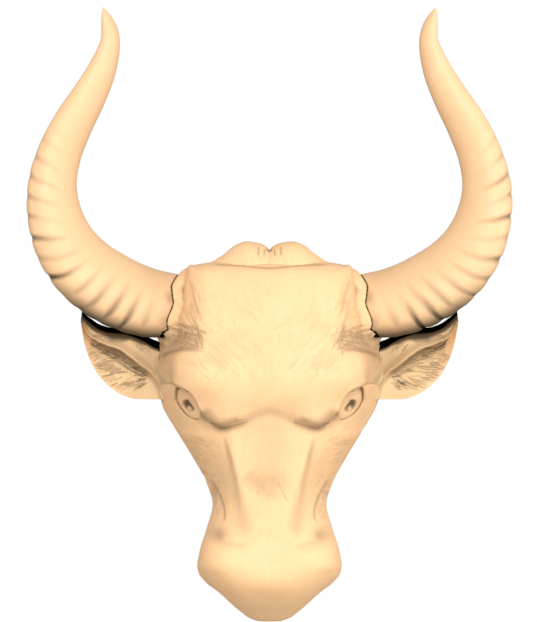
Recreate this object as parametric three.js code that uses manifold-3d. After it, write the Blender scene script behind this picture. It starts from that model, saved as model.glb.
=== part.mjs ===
// A carved bull's head, life size, that hangs on a wall. Millimetres, +Z up, +X to the viewer's right.
// The wall is the plane y = 0 and the face looks along -Y. The origin is on the wall face, on the
// head's mid line, at the level of the eyes.
import * as THREE from "three";
import { mergeVertices } from "three/addons/utils/BufferGeometryUtils.js";
import Module from "manifold-3d";

const wasm = await Module();
wasm.setup();

// Driving dimensions
const GAP = 0.3; // clearance between pieces that touch
const ROW_PITCH = 8; // height of one row of faces down the head
const FINE_PITCH = 5.5; // and between the brow and the lower lids
const FLAT_STEPS = 5; // faces across half of the flat of the face
const TURN_STEPS = 11; // faces round the turn from the flat to the side
const BACK_STEPS = 5; // faces round half of the back
const BACK_BLUNT = 2.2; // squareness of the back of the head
const FACE_CROWN = 0.066; // fall of the flat of the face to its edges, as a share of its half width
const MODELLING_LIMIT = -90; // the modelling of the face fades out behind this depth
const MODELLING_FADE = 25;

// Levels down the head, from the poll to the lips. front is the mid line of the face, side the widest
// point and back the mid line behind; flat is the share of the half width that faces forward, and
// blunt tells how square the turn to the side is. Below a fine level the rows of faces are closer.
const LEVELS = [
  { z: 189, halfWidth: 60, front: -122, side: -80, back: 6, flat: 0.6, blunt: 2.0 },
  { z: 181, halfWidth: 98, front: -151, side: -84, back: 12, flat: 0.7, blunt: 2.2 },
  { z: 170, halfWidth: 111, front: -167, side: -88, back: 14, flat: 0.68, blunt: 2.1 },
  { z: 133, halfWidth: 118, front: -187, side: -95, back: 20, flat: 0.64, blunt: 2.0 },
  { z: 100, halfWidth: 128, front: -197, side: -96, back: 24, flat: 0.62, blunt: 2.0 },
  { z: 80, halfWidth: 143, front: -202, side: -96, back: 24, flat: 0.6, blunt: 1.9 },
  { z: 60, halfWidth: 149, front: -206, side: -94, back: 24, flat: 0.56, blunt: 1.85 },
  { z: 36, halfWidth: 148, front: -208, side: -92, back: 24, flat: 0.52, blunt: 1.8, fine: true },
  { z: -1, halfWidth: 140, front: -202, side: -88, back: 20, flat: 0.4, blunt: 1.6, fine: true },
  { z: -33, halfWidth: 122, front: -198, side: -84, back: 12, flat: 0.4, blunt: 1.45 },
  { z: -64, halfWidth: 103, front: -201, side: -84, back: -2, flat: 0.45, blunt: 1.45 },
  { z: -103, halfWidth: 82, front: -203, side: -98, back: -36, flat: 0.5, blunt: 1.5 },
  { z: -130, halfWidth: 75.5, front: -204.5, side: -112, back: -50, flat: 0.48, blunt: 1.7 },
  { z: -165, halfWidth: 83.5, front: -208.5, side: -128, back: -60, flat: 0.48, blunt: 2.0 },
  { z: -182, halfWidth: 88.5, front: -212, side: -134, back: -64, flat: 0.52, blunt: 2.2 },
  { z: -195, halfWidth: 91, front: -214.5, side: -136, back: -66, flat: 0.54, blunt: 2.3 },
  { z: -208, halfWidth: 93.2, front: -215, side: -135, back: -68, flat: 0.52, blunt: 2.2 },
  { z: -218, halfWidth: 91.5, front: -213.4, side: -131, back: -71, flat: 0.46, blunt: 2.0 },
  { z: -228, halfWidth: 84.5, front: -209, side: -127, back: -75, flat: 0.42, blunt: 2.0 },
  { z: -239, halfWidth: 72.6, front: -201.5, side: -123, back: -80, flat: 0.4, blunt: 2.0 },
  { z: -254, halfWidth: 55.4, front: -184, side: -118, back: -86, flat: 0.4, blunt: 2.0 },
  { z: -270, halfWidth: 36.3, front: -156, side: -112, back: -92, flat: 0.4, blunt: 2.0 },
  { z: -277.5, halfWidth: 26, front: -141, side: -109, back: -96, flat: 0.4, blunt: 2.0 },
  { z: -281, halfWidth: 16, front: -131, side: -108, back: -98, flat: 0.4, blunt: 2.0 },
];
const LIPS = LEVELS[LEVELS.length - 1].z;
// The mouth: height of its corner, and its depth there and at the chin.
const MOUTH = { corner: -168, cornerY: -110, chinY: -118 };

// The brow's lower edge: its height at distances from the mid line, and how far the brow stands out.
const BROW_LINE = [
  { z: 0, edge: -6 }, { z: 23, edge: -20 }, { z: 38, edge: -25 }, { z: 62, edge: -33 }, { z: 70, edge: -28 },
  { z: 87, edge: -13 }, { z: 92, edge: -3 }, { z: 100, edge: 12 }, { z: 112, edge: 22 }, { z: 128, edge: 31 },
];
const BROW = { lift: 9, fade: 36, edge: 12, inner: 22, innerFade: 36, outer: 134, outerFade: 20 };
// Hollows and swellings of the face, on both sides: place and half size seen from the front, and height.
const DABS = [
  { name: "eye socket", x: 108, z: -8, halfX: 24, halfZ: 26, height: -6 },
  { name: "inner corner of the eye", x: 90, z: -17, halfX: 9, halfZ: 9, height: -4 },
  { name: "temple hollow", x: 124, z: 87, halfX: 25, halfZ: 15, height: -9 },
  { name: "brow swelling", x: 84, z: 40, halfX: 38, halfZ: 24, height: 4 },
  { name: "between the brows", x: 0, z: -6, halfX: 34, halfZ: 13, height: -3 },
  { name: "bag under the eye", x: 98, z: -40, halfX: 20, halfZ: 9, height: 2.5 },
  { name: "cheek hollow", x: 70, z: -96, halfX: 15, halfZ: 36, height: -5 },
  { name: "bridge of the nose", x: 0, z: -104, halfX: 24, halfZ: 15, height: -3 },
  { name: "fold over the muzzle", x: 67, z: -166, halfX: 10, halfZ: 8, height: -3.5 },
  { name: "upper lip", x: 52, z: -200, halfX: 30, halfZ: 18, height: 5 },
  { name: "front of the lip", x: 0, z: -226, halfX: 42, halfZ: 16, height: 5 },
];
const NOSTRIL = { x: 60, y: -131, z: -246, halfSize: 10, depth: 9 }; // on the underside of the muzzle
// The rim of skin round a horn's root: its distance behind the root's face, its reach over the horn's
// own radius, its thickness, and how far it leans out below.
const COLLAR = { inset: 8, reach: 1.06, tube: 8, lean: 0.08, turns: 26, sides: 8 };

const EYE = {
  x: 106.7, z: 1.7, // centre of the eyeball's bulge, seen from the front
  leanX: 0.56, leanZ: 0.828, // the way its long axis runs, up and outwards
  halfLong: 26, halfAcross: 16, halfDeep: 15, // the ball
  bulge: 4, // how far the ball stands out of the face
  meridians: 20, parallels: 12, // faces round the ball and from front to back
  pupilRadius: 8.5, pupilDepth: 4, pupilSides: 12, // the drilled pupil
  pupilDrop: 3, // how far it lies below the middle
  lidLong: 26, lidAcross: 12, lidRadius: 3.4, // the rim of lids round it, seen from the front
  lidSink: 1, lidPoint: 0.3, // how far the rim sinks in, and how pointed its ends are
  lidTurns: 26, lidSides: 6, // faces along the rim and round it
};

// The horn on the viewer's right: its centre line in even steps from root to tip, with its radius.
const HORN_ROWS = [
  { x: 127, y: -97, z: 129, r: 42 }, { x: 166, y: -102, z: 135, r: 45.5 },
  { x: 205, y: -109, z: 151, r: 46.5 }, { x: 240, y: -116, z: 176, r: 44 },
  { x: 265, y: -122, z: 208, r: 40 }, { x: 279, y: -126, z: 246, r: 35.5 },
  { x: 282, y: -128, z: 286, r: 31.5 }, { x: 273, y: -127, z: 326, r: 28.5 },
  { x: 256, y: -124, z: 364, r: 26 }, { x: 235, y: -121, z: 401, r: 22.5 },
  { x: 217, y: -119, z: 438, r: 18 }, { x: 207, y: -121, z: 477, r: 13 },
  { x: 216, y: -127, z: 517, r: 1 },
];
const HORN = {
  rootInside: 22, // length of the root that is set into the head
  oval: 0.68, ovalTurn: 0.6, // thickness of the section over its width, and its turn in radians
  ridges: 15, ridgesFrom: 0.06, ridgesTo: 0.6, // growth rings, and where they start and end along the horn
  ridgeDepth: 3.2, // from crest to hollow on the outer side
  plainSteps: 9, // lengths from the last ring to the start of the tip
  sides: 14, // faces round the horn
};
// The pointed tip: its radius at shares of the horn's length.
const HORN_TIP = [
  { z: 0.917, r: 12 }, { z: 0.94, r: 10.6 }, { z: 0.965, r: 7.8 }, { z: 0.985, r: 4 }, { z: 1, r: 0.6 },
];

// The ear on the viewer's right, seen from the front: its upper and lower edges at shares of the way from
// the root to the tip, and the ridge of skin along it, as a share of the way from the upper edge down.
const EAR_UPPER = [
  { z: 0, x: 122, up: 66 }, { z: 0.2, x: 150, up: 74.5 }, { z: 0.3, x: 163, up: 82 },
  { z: 0.4, x: 176, up: 88 }, { z: 0.52, x: 192, up: 92.5 }, { z: 0.64, x: 207, up: 93.5 },
  { z: 0.77, x: 222, up: 98 }, { z: 0.88, x: 233, up: 106 }, { z: 1, x: 245, up: 117 },
];
const EAR_LOWER = [
  { z: 0, x: 122, up: 7 }, { z: 0.25, x: 172, up: 7.5 }, { z: 0.37, x: 192, up: 13 },
  { z: 0.5, x: 211, up: 26 }, { z: 0.62, x: 225, up: 42 }, { z: 0.75, x: 236, up: 64 },
  { z: 0.88, x: 242.5, up: 87 }, { z: 1, x: 246, up: 109 },
];
const EAR_RIDGE = [{ z: 0, at: 0.48 }, { z: 0.3, at: 0.3 }, { z: 1, at: 0.22 }];
// Height of the rolled upper edge, behind, over the front one.
const EAR_RISE = [
  { z: 0, up: 11 }, { z: 0.25, up: 9.5 }, { z: 0.4, up: 7.5 }, { z: 0.8, up: 7 }, { z: 1, up: 4.5 },
];
const EAR = {
  root: -105, tip: -100, // depth of the edges at the root and at the tip
  cup: 26, cupRise: 0.12, cupRun: 0.8, // depth of the hollow, and how it starts and runs along the ear
  drop: 0.25, // share of the ear below the ridge over which it falls into the hollow
  groove: 0.2, // depth of the groove above the ridge, as a share of the hollow's
  fold: 8, foldHalf: 0.14, // height and half width of the ridge
  wall: 9, wallEdge: 0.6, wallBelly: 0.9, // thickness, at its edges and in the middle
  roll: 18, rollLoss: 0.5, // the upper edge rolls back by this much, less towards the tip
  inset: 0.02, // the back ends this share in from the lower edge
  lengths: 18, front: 12, back: 6,
};

// The tuft of hair on the poll: height of its outline at distances from the mid line.
const TUFT_TOP = [
  { z: 0, top: 204 }, { z: 13, top: 210.5 }, { z: 29, top: 213 }, { z: 42, top: 209.5 },
  { z: 60, top: 196 }, { z: 76, top: 186 }, { z: 92, top: 180 },
];
const TUFT = {
  halfWidth: 92, centreY: -98, centreZ: 158, halfDepth: 50,
  taper: 0.6, // how much shallower it is at its ends
  lock: 3, lockAt: 26, lockHalf: 16, // swelling of each lock, its distance from the mid line and half width
  squareness: 0.8, // below 1 the section is squarer than an ellipse
  lengths: 24, sides: 14,
};

const LIMEWOOD = new THREE.MeshStandardMaterial({ color: 0xf3cf9a, roughness: 0.62, metalness: 0 });

// A smooth curve through a table's values, with no overshoot between its rows.
function along(table, key, z) {
  const up = table[0].z < table[table.length - 1].z;
  const rows = up ? table : [...table].reverse();
  const last = rows.length - 1;
  if (z <= rows[0].z) return rows[0][key];
  if (z >= rows[last].z) return rows[last][key];
  const i = rows.findIndex((row, k) => k < last && z < rows[k + 1].z);
  const rise = (k) => (rows[k + 1][key] - rows[k][key]) / (rows[k + 1].z - rows[k].z);
  const slope = (k) => {
    if (k === 0) return rise(0);
    if (k === last) return rise(last - 1);
    const [a, b] = [rise(k - 1), rise(k)];
    return a * b <= 0 ? 0 : (2 * a * b) / (a + b);
  };
  const h = rows[i + 1].z - rows[i].z;
  const t = (z - rows[i].z) / h;
  const [t2, t3] = [t * t, t * t * t];
  return (2 * t3 - 3 * t2 + 1) * rows[i][key] + (t3 - 2 * t2 + t) * h * slope(i)
    + (3 * t2 - 2 * t3) * rows[i + 1][key] + (t3 - t2) * h * slope(i + 1);
}

const LEVEL_KEYS = ["halfWidth", "front", "side", "back", "flat", "blunt"];
const levelAt = (z) => Object.fromEntries(LEVEL_KEYS.map((key) => [key, along(LEVELS, key, z)]));
const step = (t) => THREE.MathUtils.smoothstep(t, 0, 1);
const v = (x, y, z) => new THREE.Vector3(x, y, z);

// A closed solid from points and triangles, with its faces turned outwards.
function solidOf(points, triangles) {
  let volume = 0;
  for (const [a, b, c] of triangles) volume += points[a].dot(points[b].clone().cross(points[c]));
  const turned = volume < 0 ? triangles.map(([a, b, c]) => [a, c, b]) : triangles;
  const vertProperties = new Float32Array(points.flatMap((p) => p.toArray()));
  const triVerts = new Uint32Array(turned.flat());
  return new wasm.Manifold(new wasm.Mesh({ numProp: 3, vertProperties, triVerts }));
}

// A solid from a three.js geometry, moved by a matrix.
function solidOfGeometry(geometry, matrix) {
  const bare = geometry.clone().applyMatrix4(matrix);
  bare.deleteAttribute("normal");
  bare.deleteAttribute("uv");
  const merged = mergeVertices(bare, 1e-3);
  const points = [];
  for (let i = 0; i < merged.attributes.position.count; i++) {
    points.push(v().fromBufferAttribute(merged.attributes.position, i));
  }
  const triangles = [];
  for (let i = 0; i < merged.index.count; i += 3) {
    triangles.push([0, 1, 2].map((k) => merged.index.getX(i + k)));
  }
  return solidOf(points, triangles);
}

// A solid skinned over closed rings of points, with each end ring closed by a fan. A square of four
// points is split along its shorter diagonal.
const SAME_LENGTH = 1e-3;
function loft(rings) {
  const around = rings[0].length;
  const points = rings.flat();
  const triangles = [];
  for (let r = 0; r < rings.length - 1; r++) {
    for (let k = 0; k < around; k++) {
      const [a, b] = [r * around + k, r * around + ((k + 1) % around)];
      const [c, d] = [a + around, b + around];
      const shorter = points[a].distanceTo(points[d]) < points[b].distanceTo(points[c]) - SAME_LENGTH;
      triangles.push(...(shorter ? [[a, b, d], [a, d, c]] : [[a, b, c], [b, d, c]]));
    }
  }
  for (const r of [0, rings.length - 1]) {
    const centre = rings[r].reduce((sum, p) => sum.add(p), v()).divideScalar(around);
    points.push(centre);
    for (let k = 0; k < around; k++) {
      const [a, b] = [r * around + k, r * around + ((k + 1) % around)];
      triangles.push(r === 0 ? [b, a, points.length - 1] : [a, b, points.length - 1]);
    }
  }
  return solidOf(points, triangles);
}

// A round bar bent into a closed loop. place gives a point of the loop at an angle, out the way it faces.
const SMALL_ANGLE = 0.1;
function hoop(place, out, radius, turns, sides) {
  const points = [];
  const triangles = [];
  for (let i = 0; i < turns; i++) {
    const angle = (i / turns) * 2 * Math.PI;
    const run = place(angle + SMALL_ANGLE).sub(place(angle - SMALL_ANGLE)).normalize();
    const wide = run.clone().cross(out).normalize();
    const high = wide.clone().cross(run);
    for (let k = 0; k < sides; k++) {
      const a = (k / sides) * 2 * Math.PI;
      const rim = place(angle).addScaledVector(wide, radius * Math.cos(a));
      points.push(rim.addScaledVector(high, radius * Math.sin(a)));
      const next = ((i + 1) % turns) * sides;
      const [p, q] = [i * sides + k, i * sides + ((k + 1) % sides)];
      triangles.push([p, q, next + ((k + 1) % sides)], [p, next + ((k + 1) % sides), next + k]);
    }
  }
  return solidOf(points, triangles);
}

// How far the flat of the face falls away to its edges at a level, and what carries its slope on into
// the turn to the side, at a share s of that turn.
const crownAt = (level) => FACE_CROWN * level.halfWidth * level.flat;
const easeAt = (level, s) => 2 * crownAt(level) * (1 / level.flat - 1) * s * (1 - s) ** 2;

// One half of the outline of a level: q runs from 0 at the mid line of the face, through 1 at the edge
// of the flat and 2 at the side, to 3 at the mid line of the back.
function outlinePoint(level, q) {
  const { halfWidth, front, side, back, flat, blunt } = level;
  const edge = front + crownAt(level);
  if (q <= 1) return [halfWidth * flat * q, front + (edge - front) * q * q];
  if (q === 3) return [0, back];
  const angle = (q % 1) * (Math.PI / 2);
  const power = 2 / (q < 2 ? blunt : BACK_BLUNT);
  const [s, c] = [Math.sin(angle) ** power, Math.cos(angle) ** power];
  if (q < 2) return [halfWidth * (flat + (1 - flat) * s), side + (edge - side) * c + easeAt(level, s)];
  return [halfWidth * c, side + (back - side) * s];
}

// Depth of the plain form of the face at a place seen from the front.
function faceDepth(x, z) {
  const level = levelAt(z);
  const { halfWidth, front, side, flat, blunt } = level;
  const edge = front + crownAt(level);
  const t = Math.abs(x) / halfWidth;
  if (t <= flat) return front + (edge - front) * (t / flat) ** 2;
  const s = Math.min(1, (t - flat) / (1 - flat));
  return side + (edge - side) * (1 - s ** blunt) ** (1 / blunt) + easeAt(level, s);
}

// Height of the modelling above the plain form at a point of it.
function relief(p) {
  const x = Math.abs(p.x);
  let height = 0;
  for (const dab of DABS) {
    const r2 = ((x - dab.x) / dab.halfX) ** 2 + ((p.z - dab.z) / dab.halfZ) ** 2;
    height += dab.height * Math.exp(-r2);
  }
  const above = p.z - along(BROW_LINE, "edge", x);
  if (above > 0) {
    const ends = step((BROW.outer - x) / BROW.outerFade) * step((x - BROW.inner) / BROW.innerFade);
    height += ends * BROW.lift * step(above / BROW.edge) * Math.exp(-above / BROW.fade);
  }
  height *= step((MODELLING_LIMIT - p.y) / MODELLING_FADE);
  const fromNostril = Math.hypot(x - NOSTRIL.x, p.y - NOSTRIL.y, p.z - NOSTRIL.z);
  return height - NOSTRIL.depth * Math.exp(-((fromNostril / NOSTRIL.halfSize) ** 2));
}

// The whole head as a solid, swollen by grow, before anything is set into it.
function headForm(grow) {
  const half = [];
  for (let k = 0; k < FLAT_STEPS; k++) half.push(k / FLAT_STEPS);
  for (let k = 0; k < TURN_STEPS; k++) half.push(1 + k / TURN_STEPS);
  for (let k = 0; k < BACK_STEPS; k++) half.push(2 + k / BACK_STEPS);
  const around = [...half.map((q) => [q, 1]), ...[...half.slice(1), 3].reverse().map((q) => [q, -1])];
  const heights = [];
  LEVELS.slice(1).forEach((level, i) => {
    const above = LEVELS[i].z;
    const rows = Math.ceil((above - level.z) / (LEVELS[i].fine ? FINE_PITCH : ROW_PITCH));
    for (let k = 0; k < rows; k++) heights.push(above + ((level.z - above) * k) / rows);
  });
  heights.push(LIPS);
  const plain = heights.map((z) => {
    const level = levelAt(z);
    return around.map(([q, side]) => {
      const [x, y] = outlinePoint(level, q);
      return v(side * x, y, z);
    });
  });
  const last = plain.length - 1;
  const rings = plain.map((ring, r) => ring.map((p, k) => {
    const below = plain[Math.min(r + 1, last)][k];
    const above = plain[Math.max(r - 1, 0)][k];
    const before = ring[(k + ring.length - 1) % ring.length];
    const after = ring[(k + 1) % ring.length];
    const normal = after.clone().sub(before).cross(above.clone().sub(below)).normalize();
    const end = r === 0 ? grow : r === last ? -grow : 0;
    return p.clone().addScaledVector(normal, relief(p) + grow).add(v(0, 0, end));
  }));
  return loft(rings);
}

// The frame of an eye: its middle on the face, the way it looks and its long axis.
function eyeFrame(side) {
  const d = 1;
  const { x, z, leanX, leanZ } = EYE;
  const slopeX = (faceDepth(x + d, z) - faceDepth(x - d, z)) / (2 * d);
  const slopeZ = (faceDepth(x, z + d) - faceDepth(x, z - d)) / (2 * d);
  const out = v(side * slopeX, -1, slopeZ).normalize();
  const long = v(side * leanX, slopeX * leanX + slopeZ * leanZ, leanZ).normalize();
  return { middle: v(side * x, faceDepth(x, z), z), out, long, across: out.clone().cross(long) };
}

// The eyeball, swollen by grow; only the ball itself has the drilled pupil.
function eyeball(side, grow, drilled) {
  const { middle, out, long, across } = eyeFrame(side);
  const centre = middle.clone().addScaledVector(out, EYE.bulge - EYE.halfDeep);
  const axes = new THREE.Matrix4().makeBasis(long, across, out).setPosition(centre);
  const size = new THREE.Matrix4().makeScale(EYE.halfLong + grow, EYE.halfAcross + grow, EYE.halfDeep + grow);
  const unit = new THREE.SphereGeometry(1, EYE.meridians, EYE.parallels);
  const ball = solidOfGeometry(unit, axes.clone().multiply(size));
  if (!drilled) return ball;
  const front = axes.clone().multiply(new THREE.Matrix4().makeTranslation(-EYE.pupilDrop, 0, EYE.halfDeep));
  const upright = front.multiply(new THREE.Matrix4().makeRotationX(Math.PI / 2));
  const { pupilRadius, pupilDepth, pupilSides } = EYE;
  const drill = new THREE.CylinderGeometry(pupilRadius, pupilRadius, 2 * pupilDepth, pupilSides);
  return ball.subtract(solidOfGeometry(drill, upright));
}

// The rim of lids round an eye, an almond that lies on the face.
function eyelids(side) {
  const place = (angle) => {
    const [c, s] = [Math.cos(angle), Math.sin(angle)];
    const l = EYE.lidLong * c;
    const w = EYE.lidAcross * s * Math.abs(s) ** EYE.lidPoint;
    const x = EYE.x + l * EYE.leanX + w * EYE.leanZ;
    const z = EYE.z + l * EYE.leanZ - w * EYE.leanX;
    return v(side * x, faceDepth(x, z) + EYE.lidSink, z);
  };
  return hoop(place, eyeFrame(side).out, EYE.lidRadius, EYE.lidTurns, EYE.lidSides);
}

// The middle of a horn at a share of its length, the way it runs there, the way out of its bend and the
// way across both.
function hornFrame(side, share) {
  const points = HORN_ROWS.map(({ x, y, z }) => v(side * x, y, z));
  const path = new THREE.CatmullRomCurve3(points, false, "centripetal");
  const run = path.getTangent(share);
  const wide = v(0, side, 0).cross(run).normalize();
  return { middle: path.getPoint(share), run, wide, high: run.clone().cross(wide) };
}

// Half the width of a horn, along the long axis of its oval, at a share of its length.
const hornReach = Math.hypot(Math.cos(HORN.ovalTurn), HORN.oval * Math.sin(HORN.ovalTurn));
function hornRadius(share) {
  const rows = HORN_ROWS.slice(0, -2).map(({ r }, i) => ({ z: i / (HORN_ROWS.length - 1), r }));
  return along([...rows, ...HORN_TIP], "r", share) / hornReach;
}

// The oval section of a horn at an angle, turned alike on both sides of the head.
function hornSection(side, angle) {
  const oval = new THREE.Vector2(Math.cos(angle), HORN.oval * Math.sin(angle));
  return oval.rotateAround(new THREE.Vector2(), -side * HORN.ovalTurn);
}

// The rim of skin round the root of a horn.
function collar(side, grow) {
  const { middle, run, wide, high } = hornFrame(side, 0);
  const radius = COLLAR.reach * hornRadius(0);
  const place = (angle) => {
    const section = hornSection(side, angle).multiplyScalar(radius);
    return middle.clone()
      .addScaledVector(wide, section.x)
      .addScaledVector(high, section.y)
      .addScaledVector(run, COLLAR.lean * section.x - COLLAR.inset);
  };
  return hoop(place, run, COLLAR.tube + grow, COLLAR.turns, COLLAR.sides);
}

// A horn, swollen by grow, with its growth rings deepest on the outside of the bend.
function horn(side, grow) {
  const { ridges, ridgesFrom, ridgesTo, plainSteps } = HORN;
  const tipFrom = HORN_TIP[0].z;
  const shares = [0];
  const halfRidge = (ridgesTo - ridgesFrom) / (2 * ridges);
  for (let k = 0; k <= 2 * ridges; k++) shares.push(ridgesFrom + halfRidge * k);
  for (let k = 1; k < plainSteps; k++) shares.push(ridgesTo + ((tipFrom - ridgesTo) * k) / plainSteps);
  shares.push(...HORN_TIP.map(({ z }) => z));
  const rings = shares.map((share, i) => {
    const { middle, wide, high } = hornFrame(side, share);
    const hollow = share >= ridgesFrom && share <= ridgesTo && i % 2 === 0 ? HORN.ridgeDepth : 0;
    const ring = [];
    for (let k = 0; k < HORN.sides; k++) {
      const section = hornSection(side, (k / HORN.sides) * 2 * Math.PI);
      const outer = THREE.MathUtils.clamp(0.5 + 0.5 * section.x, 0, 1);
      const far = section.length();
      section.multiplyScalar(hornRadius(share) - hollow * outer + grow / far);
      ring.push(middle.clone().addScaledVector(wide, section.x).addScaledVector(high, section.y));
    }
    return ring;
  });
  const inward = hornFrame(side, 0).run.multiplyScalar(-(HORN.rootInside + grow));
  rings.unshift(rings[0].map((p) => p.clone().add(inward)));
  return loft(rings);
}

// An ear: a cupped leaf whose upper edge rolls back under the horn, with a ridge of skin over its hollow.
function ear(side) {
  const edge = (s) => EAR.root + (EAR.tip - EAR.root) * s;
  const cup = (s) => EAR.cup * Math.sin(Math.PI * (EAR.cupRise + EAR.cupRun * s));
  const frontDepth = (s, t) => {
    const ridge = along(EAR_RIDGE, "at", s);
    const below = THREE.MathUtils.clamp((t - ridge) / (1 - ridge), 0, 1);
    const above = THREE.MathUtils.clamp(t / ridge, 0, 1);
    const hollow = (1 - Math.exp(-below / EAR.drop)) * (1 - below) + EAR.groove * Math.sin(Math.PI * above);
    const fold = EAR.fold * Math.exp(-(((t - ridge) / EAR.foldHalf) ** 2)) * step(t / EAR.foldHalf);
    return edge(s) + cup(s) * hollow - fold;
  };
  const backDepth = (s, t) => {
    const bow = Math.sin(Math.PI * t);
    const roll = EAR.roll * (1 - t) ** 2 * (1 - EAR.rollLoss * s);
    return edge(s) + cup(s) * bow + EAR.wall * (EAR.wallEdge + EAR.wallBelly * bow) + roll;
  };
  const rings = [];
  for (let i = 0; i <= EAR.lengths; i++) {
    const s = i / EAR.lengths;
    const upper = v(side * along(EAR_UPPER, "x", s), 0, along(EAR_UPPER, "up", s));
    const lower = v(side * along(EAR_LOWER, "x", s), 0, along(EAR_LOWER, "up", s));
    const rolled = upper.clone().setZ(upper.z + along(EAR_RISE, "up", s));
    const ring = [];
    for (let k = 0; k <= EAR.front; k++) {
      const t = k / EAR.front;
      ring.push(upper.clone().lerp(lower, t).setY(frontDepth(s, t)));
    }
    for (let k = EAR.back; k >= 0; k--) {
      const t = k / EAR.back;
      ring.push(rolled.clone().lerp(lower, t * (1 - EAR.inset)).setY(backDepth(s, t)));
    }
    rings.push(ring);
  }
  return loft(rings);
}

// The tuft on the poll: two rounded locks that part at the mid line.
function tuft() {
  const bent = (t) => Math.sign(t) * Math.abs(t) ** TUFT.squareness;
  const rings = [];
  for (let i = 0; i <= TUFT.lengths; i++) {
    const x = TUFT.halfWidth * (-1 + (2 * i) / TUFT.lengths);
    const height = along(TUFT_TOP, "top", Math.abs(x)) - TUFT.centreZ;
    const lock = TUFT.lock * Math.exp(-(((Math.abs(x) - TUFT.lockAt) / TUFT.lockHalf) ** 2));
    const depth = TUFT.halfDepth * Math.sqrt(1 - TUFT.taper * (x / TUFT.halfWidth) ** 2) + lock;
    const ring = [];
    for (let k = 0; k < TUFT.sides; k++) {
      const a = (k / TUFT.sides) * 2 * Math.PI;
      ring.push(v(x, TUFT.centreY + depth * bent(Math.cos(a)), TUFT.centreZ + height * bent(Math.sin(a))));
    }
    rings.push(ring);
  }
  return loft(rings);
}

// A box between two corners, for cuts.
function block(low, high) {
  const size = v().subVectors(high, low);
  const middle = v().addVectors(low, high).multiplyScalar(0.5);
  return solidOfGeometry(new THREE.BoxGeometry(...size.toArray()), new THREE.Matrix4().setPosition(middle));
}

// All that lies in front of the mouth, moved back by shift, as a large prism.
const FAR = 600;
function beforeMouth(shift) {
  const lean = (MOUTH.chinY - MOUTH.cornerY) / (LIPS - MOUTH.corner);
  const at = (z) => MOUTH.cornerY + lean * (z - MOUTH.corner) + shift;
  const outline = [[-FAR, -FAR], [at(-FAR), -FAR], [at(0), 0], [-FAR, 0]];
  const ring = (x) => outline.map(([y, z]) => v(x, y, z));
  return loft([ring(-FAR), ring(FAR)]);
}

// A named mesh of the largest closed body of a solid.
function meshOf(name, solid) {
  const [body] = solid.decompose().sort((a, b) => b.volume() - a.volume());
  const made = body.getMesh();
  const geometry = new THREE.BufferGeometry();
  geometry.setAttribute("position", new THREE.BufferAttribute(made.vertProperties, 3));
  geometry.setIndex(new THREE.BufferAttribute(made.triVerts, 1));
  geometry.computeVertexNormals();
  const mesh = new THREE.Mesh(geometry, LIMEWOOD);
  mesh.name = name;
  return mesh;
}

// The head is made whole with its lids and collars, hollowed for the eyes and horns, cut flat at the
// wall and parted at the corner of the mouth and along the mouth.
const wall = block(v(-FAR, 0, -FAR), v(FAR, FAR, FAR));
const aboveCorner = block(v(-FAR, -FAR, MOUTH.corner + GAP / 2), v(FAR, FAR, FAR));
const belowCorner = block(v(-FAR, -FAR, -FAR), v(FAR, FAR, MOUTH.corner - GAP / 2));

let grown = headForm(GAP);
let whole = headForm(0);
for (const side of [1, -1]) {
  grown = grown.add(collar(side, GAP));
  whole = whole.add(collar(side, 0)).add(eyelids(side));
}
for (const side of [1, -1]) {
  whole = whole.subtract(eyeball(side, GAP, false)).subtract(horn(side, GAP));
}
whole = whole.subtract(wall);

const group = new THREE.Group();
group.add(meshOf("head", whole.intersect(aboveCorner)));
group.add(meshOf("muzzle", whole.intersect(belowCorner).intersect(beforeMouth(-GAP / 2))));
group.add(meshOf("lower_jaw", whole.intersect(belowCorner).subtract(beforeMouth(GAP / 2))));
group.add(meshOf("poll_tuft", tuft().subtract(grown)));
for (const [name, side] of [["right", 1], ["left", -1]]) {
  group.add(meshOf(`horn_${name}`, horn(side, 0)));
  group.add(meshOf(`ear_${name}`, ear(side).subtract(grown).subtract(horn(side, GAP))));
  group.add(meshOf(`eye_${name}`, eyeball(side, 0, true)));
}

export default group;
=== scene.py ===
# %% [markdown]
# # A carved bull's head
# This lesson dresses a life-size bull's head, carved in limewood, that hangs on a wall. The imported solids
# give the size and place of every piece. Here each one is modelled again, finely, in the same frame:
# millimetres in the sums, metres in the meshes, +Z up, the wall at y = 0 and the face looking along -Y.
# The frame is loaded first, and its box is kept, so that the finished model can be held against it.

# %% Load the frame
import math

import bpy
import numpy as np
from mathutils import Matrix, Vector
from mathutils.bvhtree import BVHTree


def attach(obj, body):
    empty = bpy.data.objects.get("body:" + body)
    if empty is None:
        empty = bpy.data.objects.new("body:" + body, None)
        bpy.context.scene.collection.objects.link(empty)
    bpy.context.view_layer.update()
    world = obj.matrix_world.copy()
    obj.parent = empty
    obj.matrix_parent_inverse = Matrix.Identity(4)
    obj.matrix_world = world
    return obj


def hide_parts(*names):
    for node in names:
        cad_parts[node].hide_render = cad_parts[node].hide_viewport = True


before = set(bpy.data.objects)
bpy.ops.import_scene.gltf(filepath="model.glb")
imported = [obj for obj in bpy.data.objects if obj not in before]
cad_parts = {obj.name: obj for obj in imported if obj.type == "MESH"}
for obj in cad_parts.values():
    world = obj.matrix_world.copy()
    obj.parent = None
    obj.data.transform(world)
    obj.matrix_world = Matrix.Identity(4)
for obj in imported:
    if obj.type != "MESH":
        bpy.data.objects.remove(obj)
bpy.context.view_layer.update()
MM = 0.001
print("solids:", sorted(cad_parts))

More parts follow.
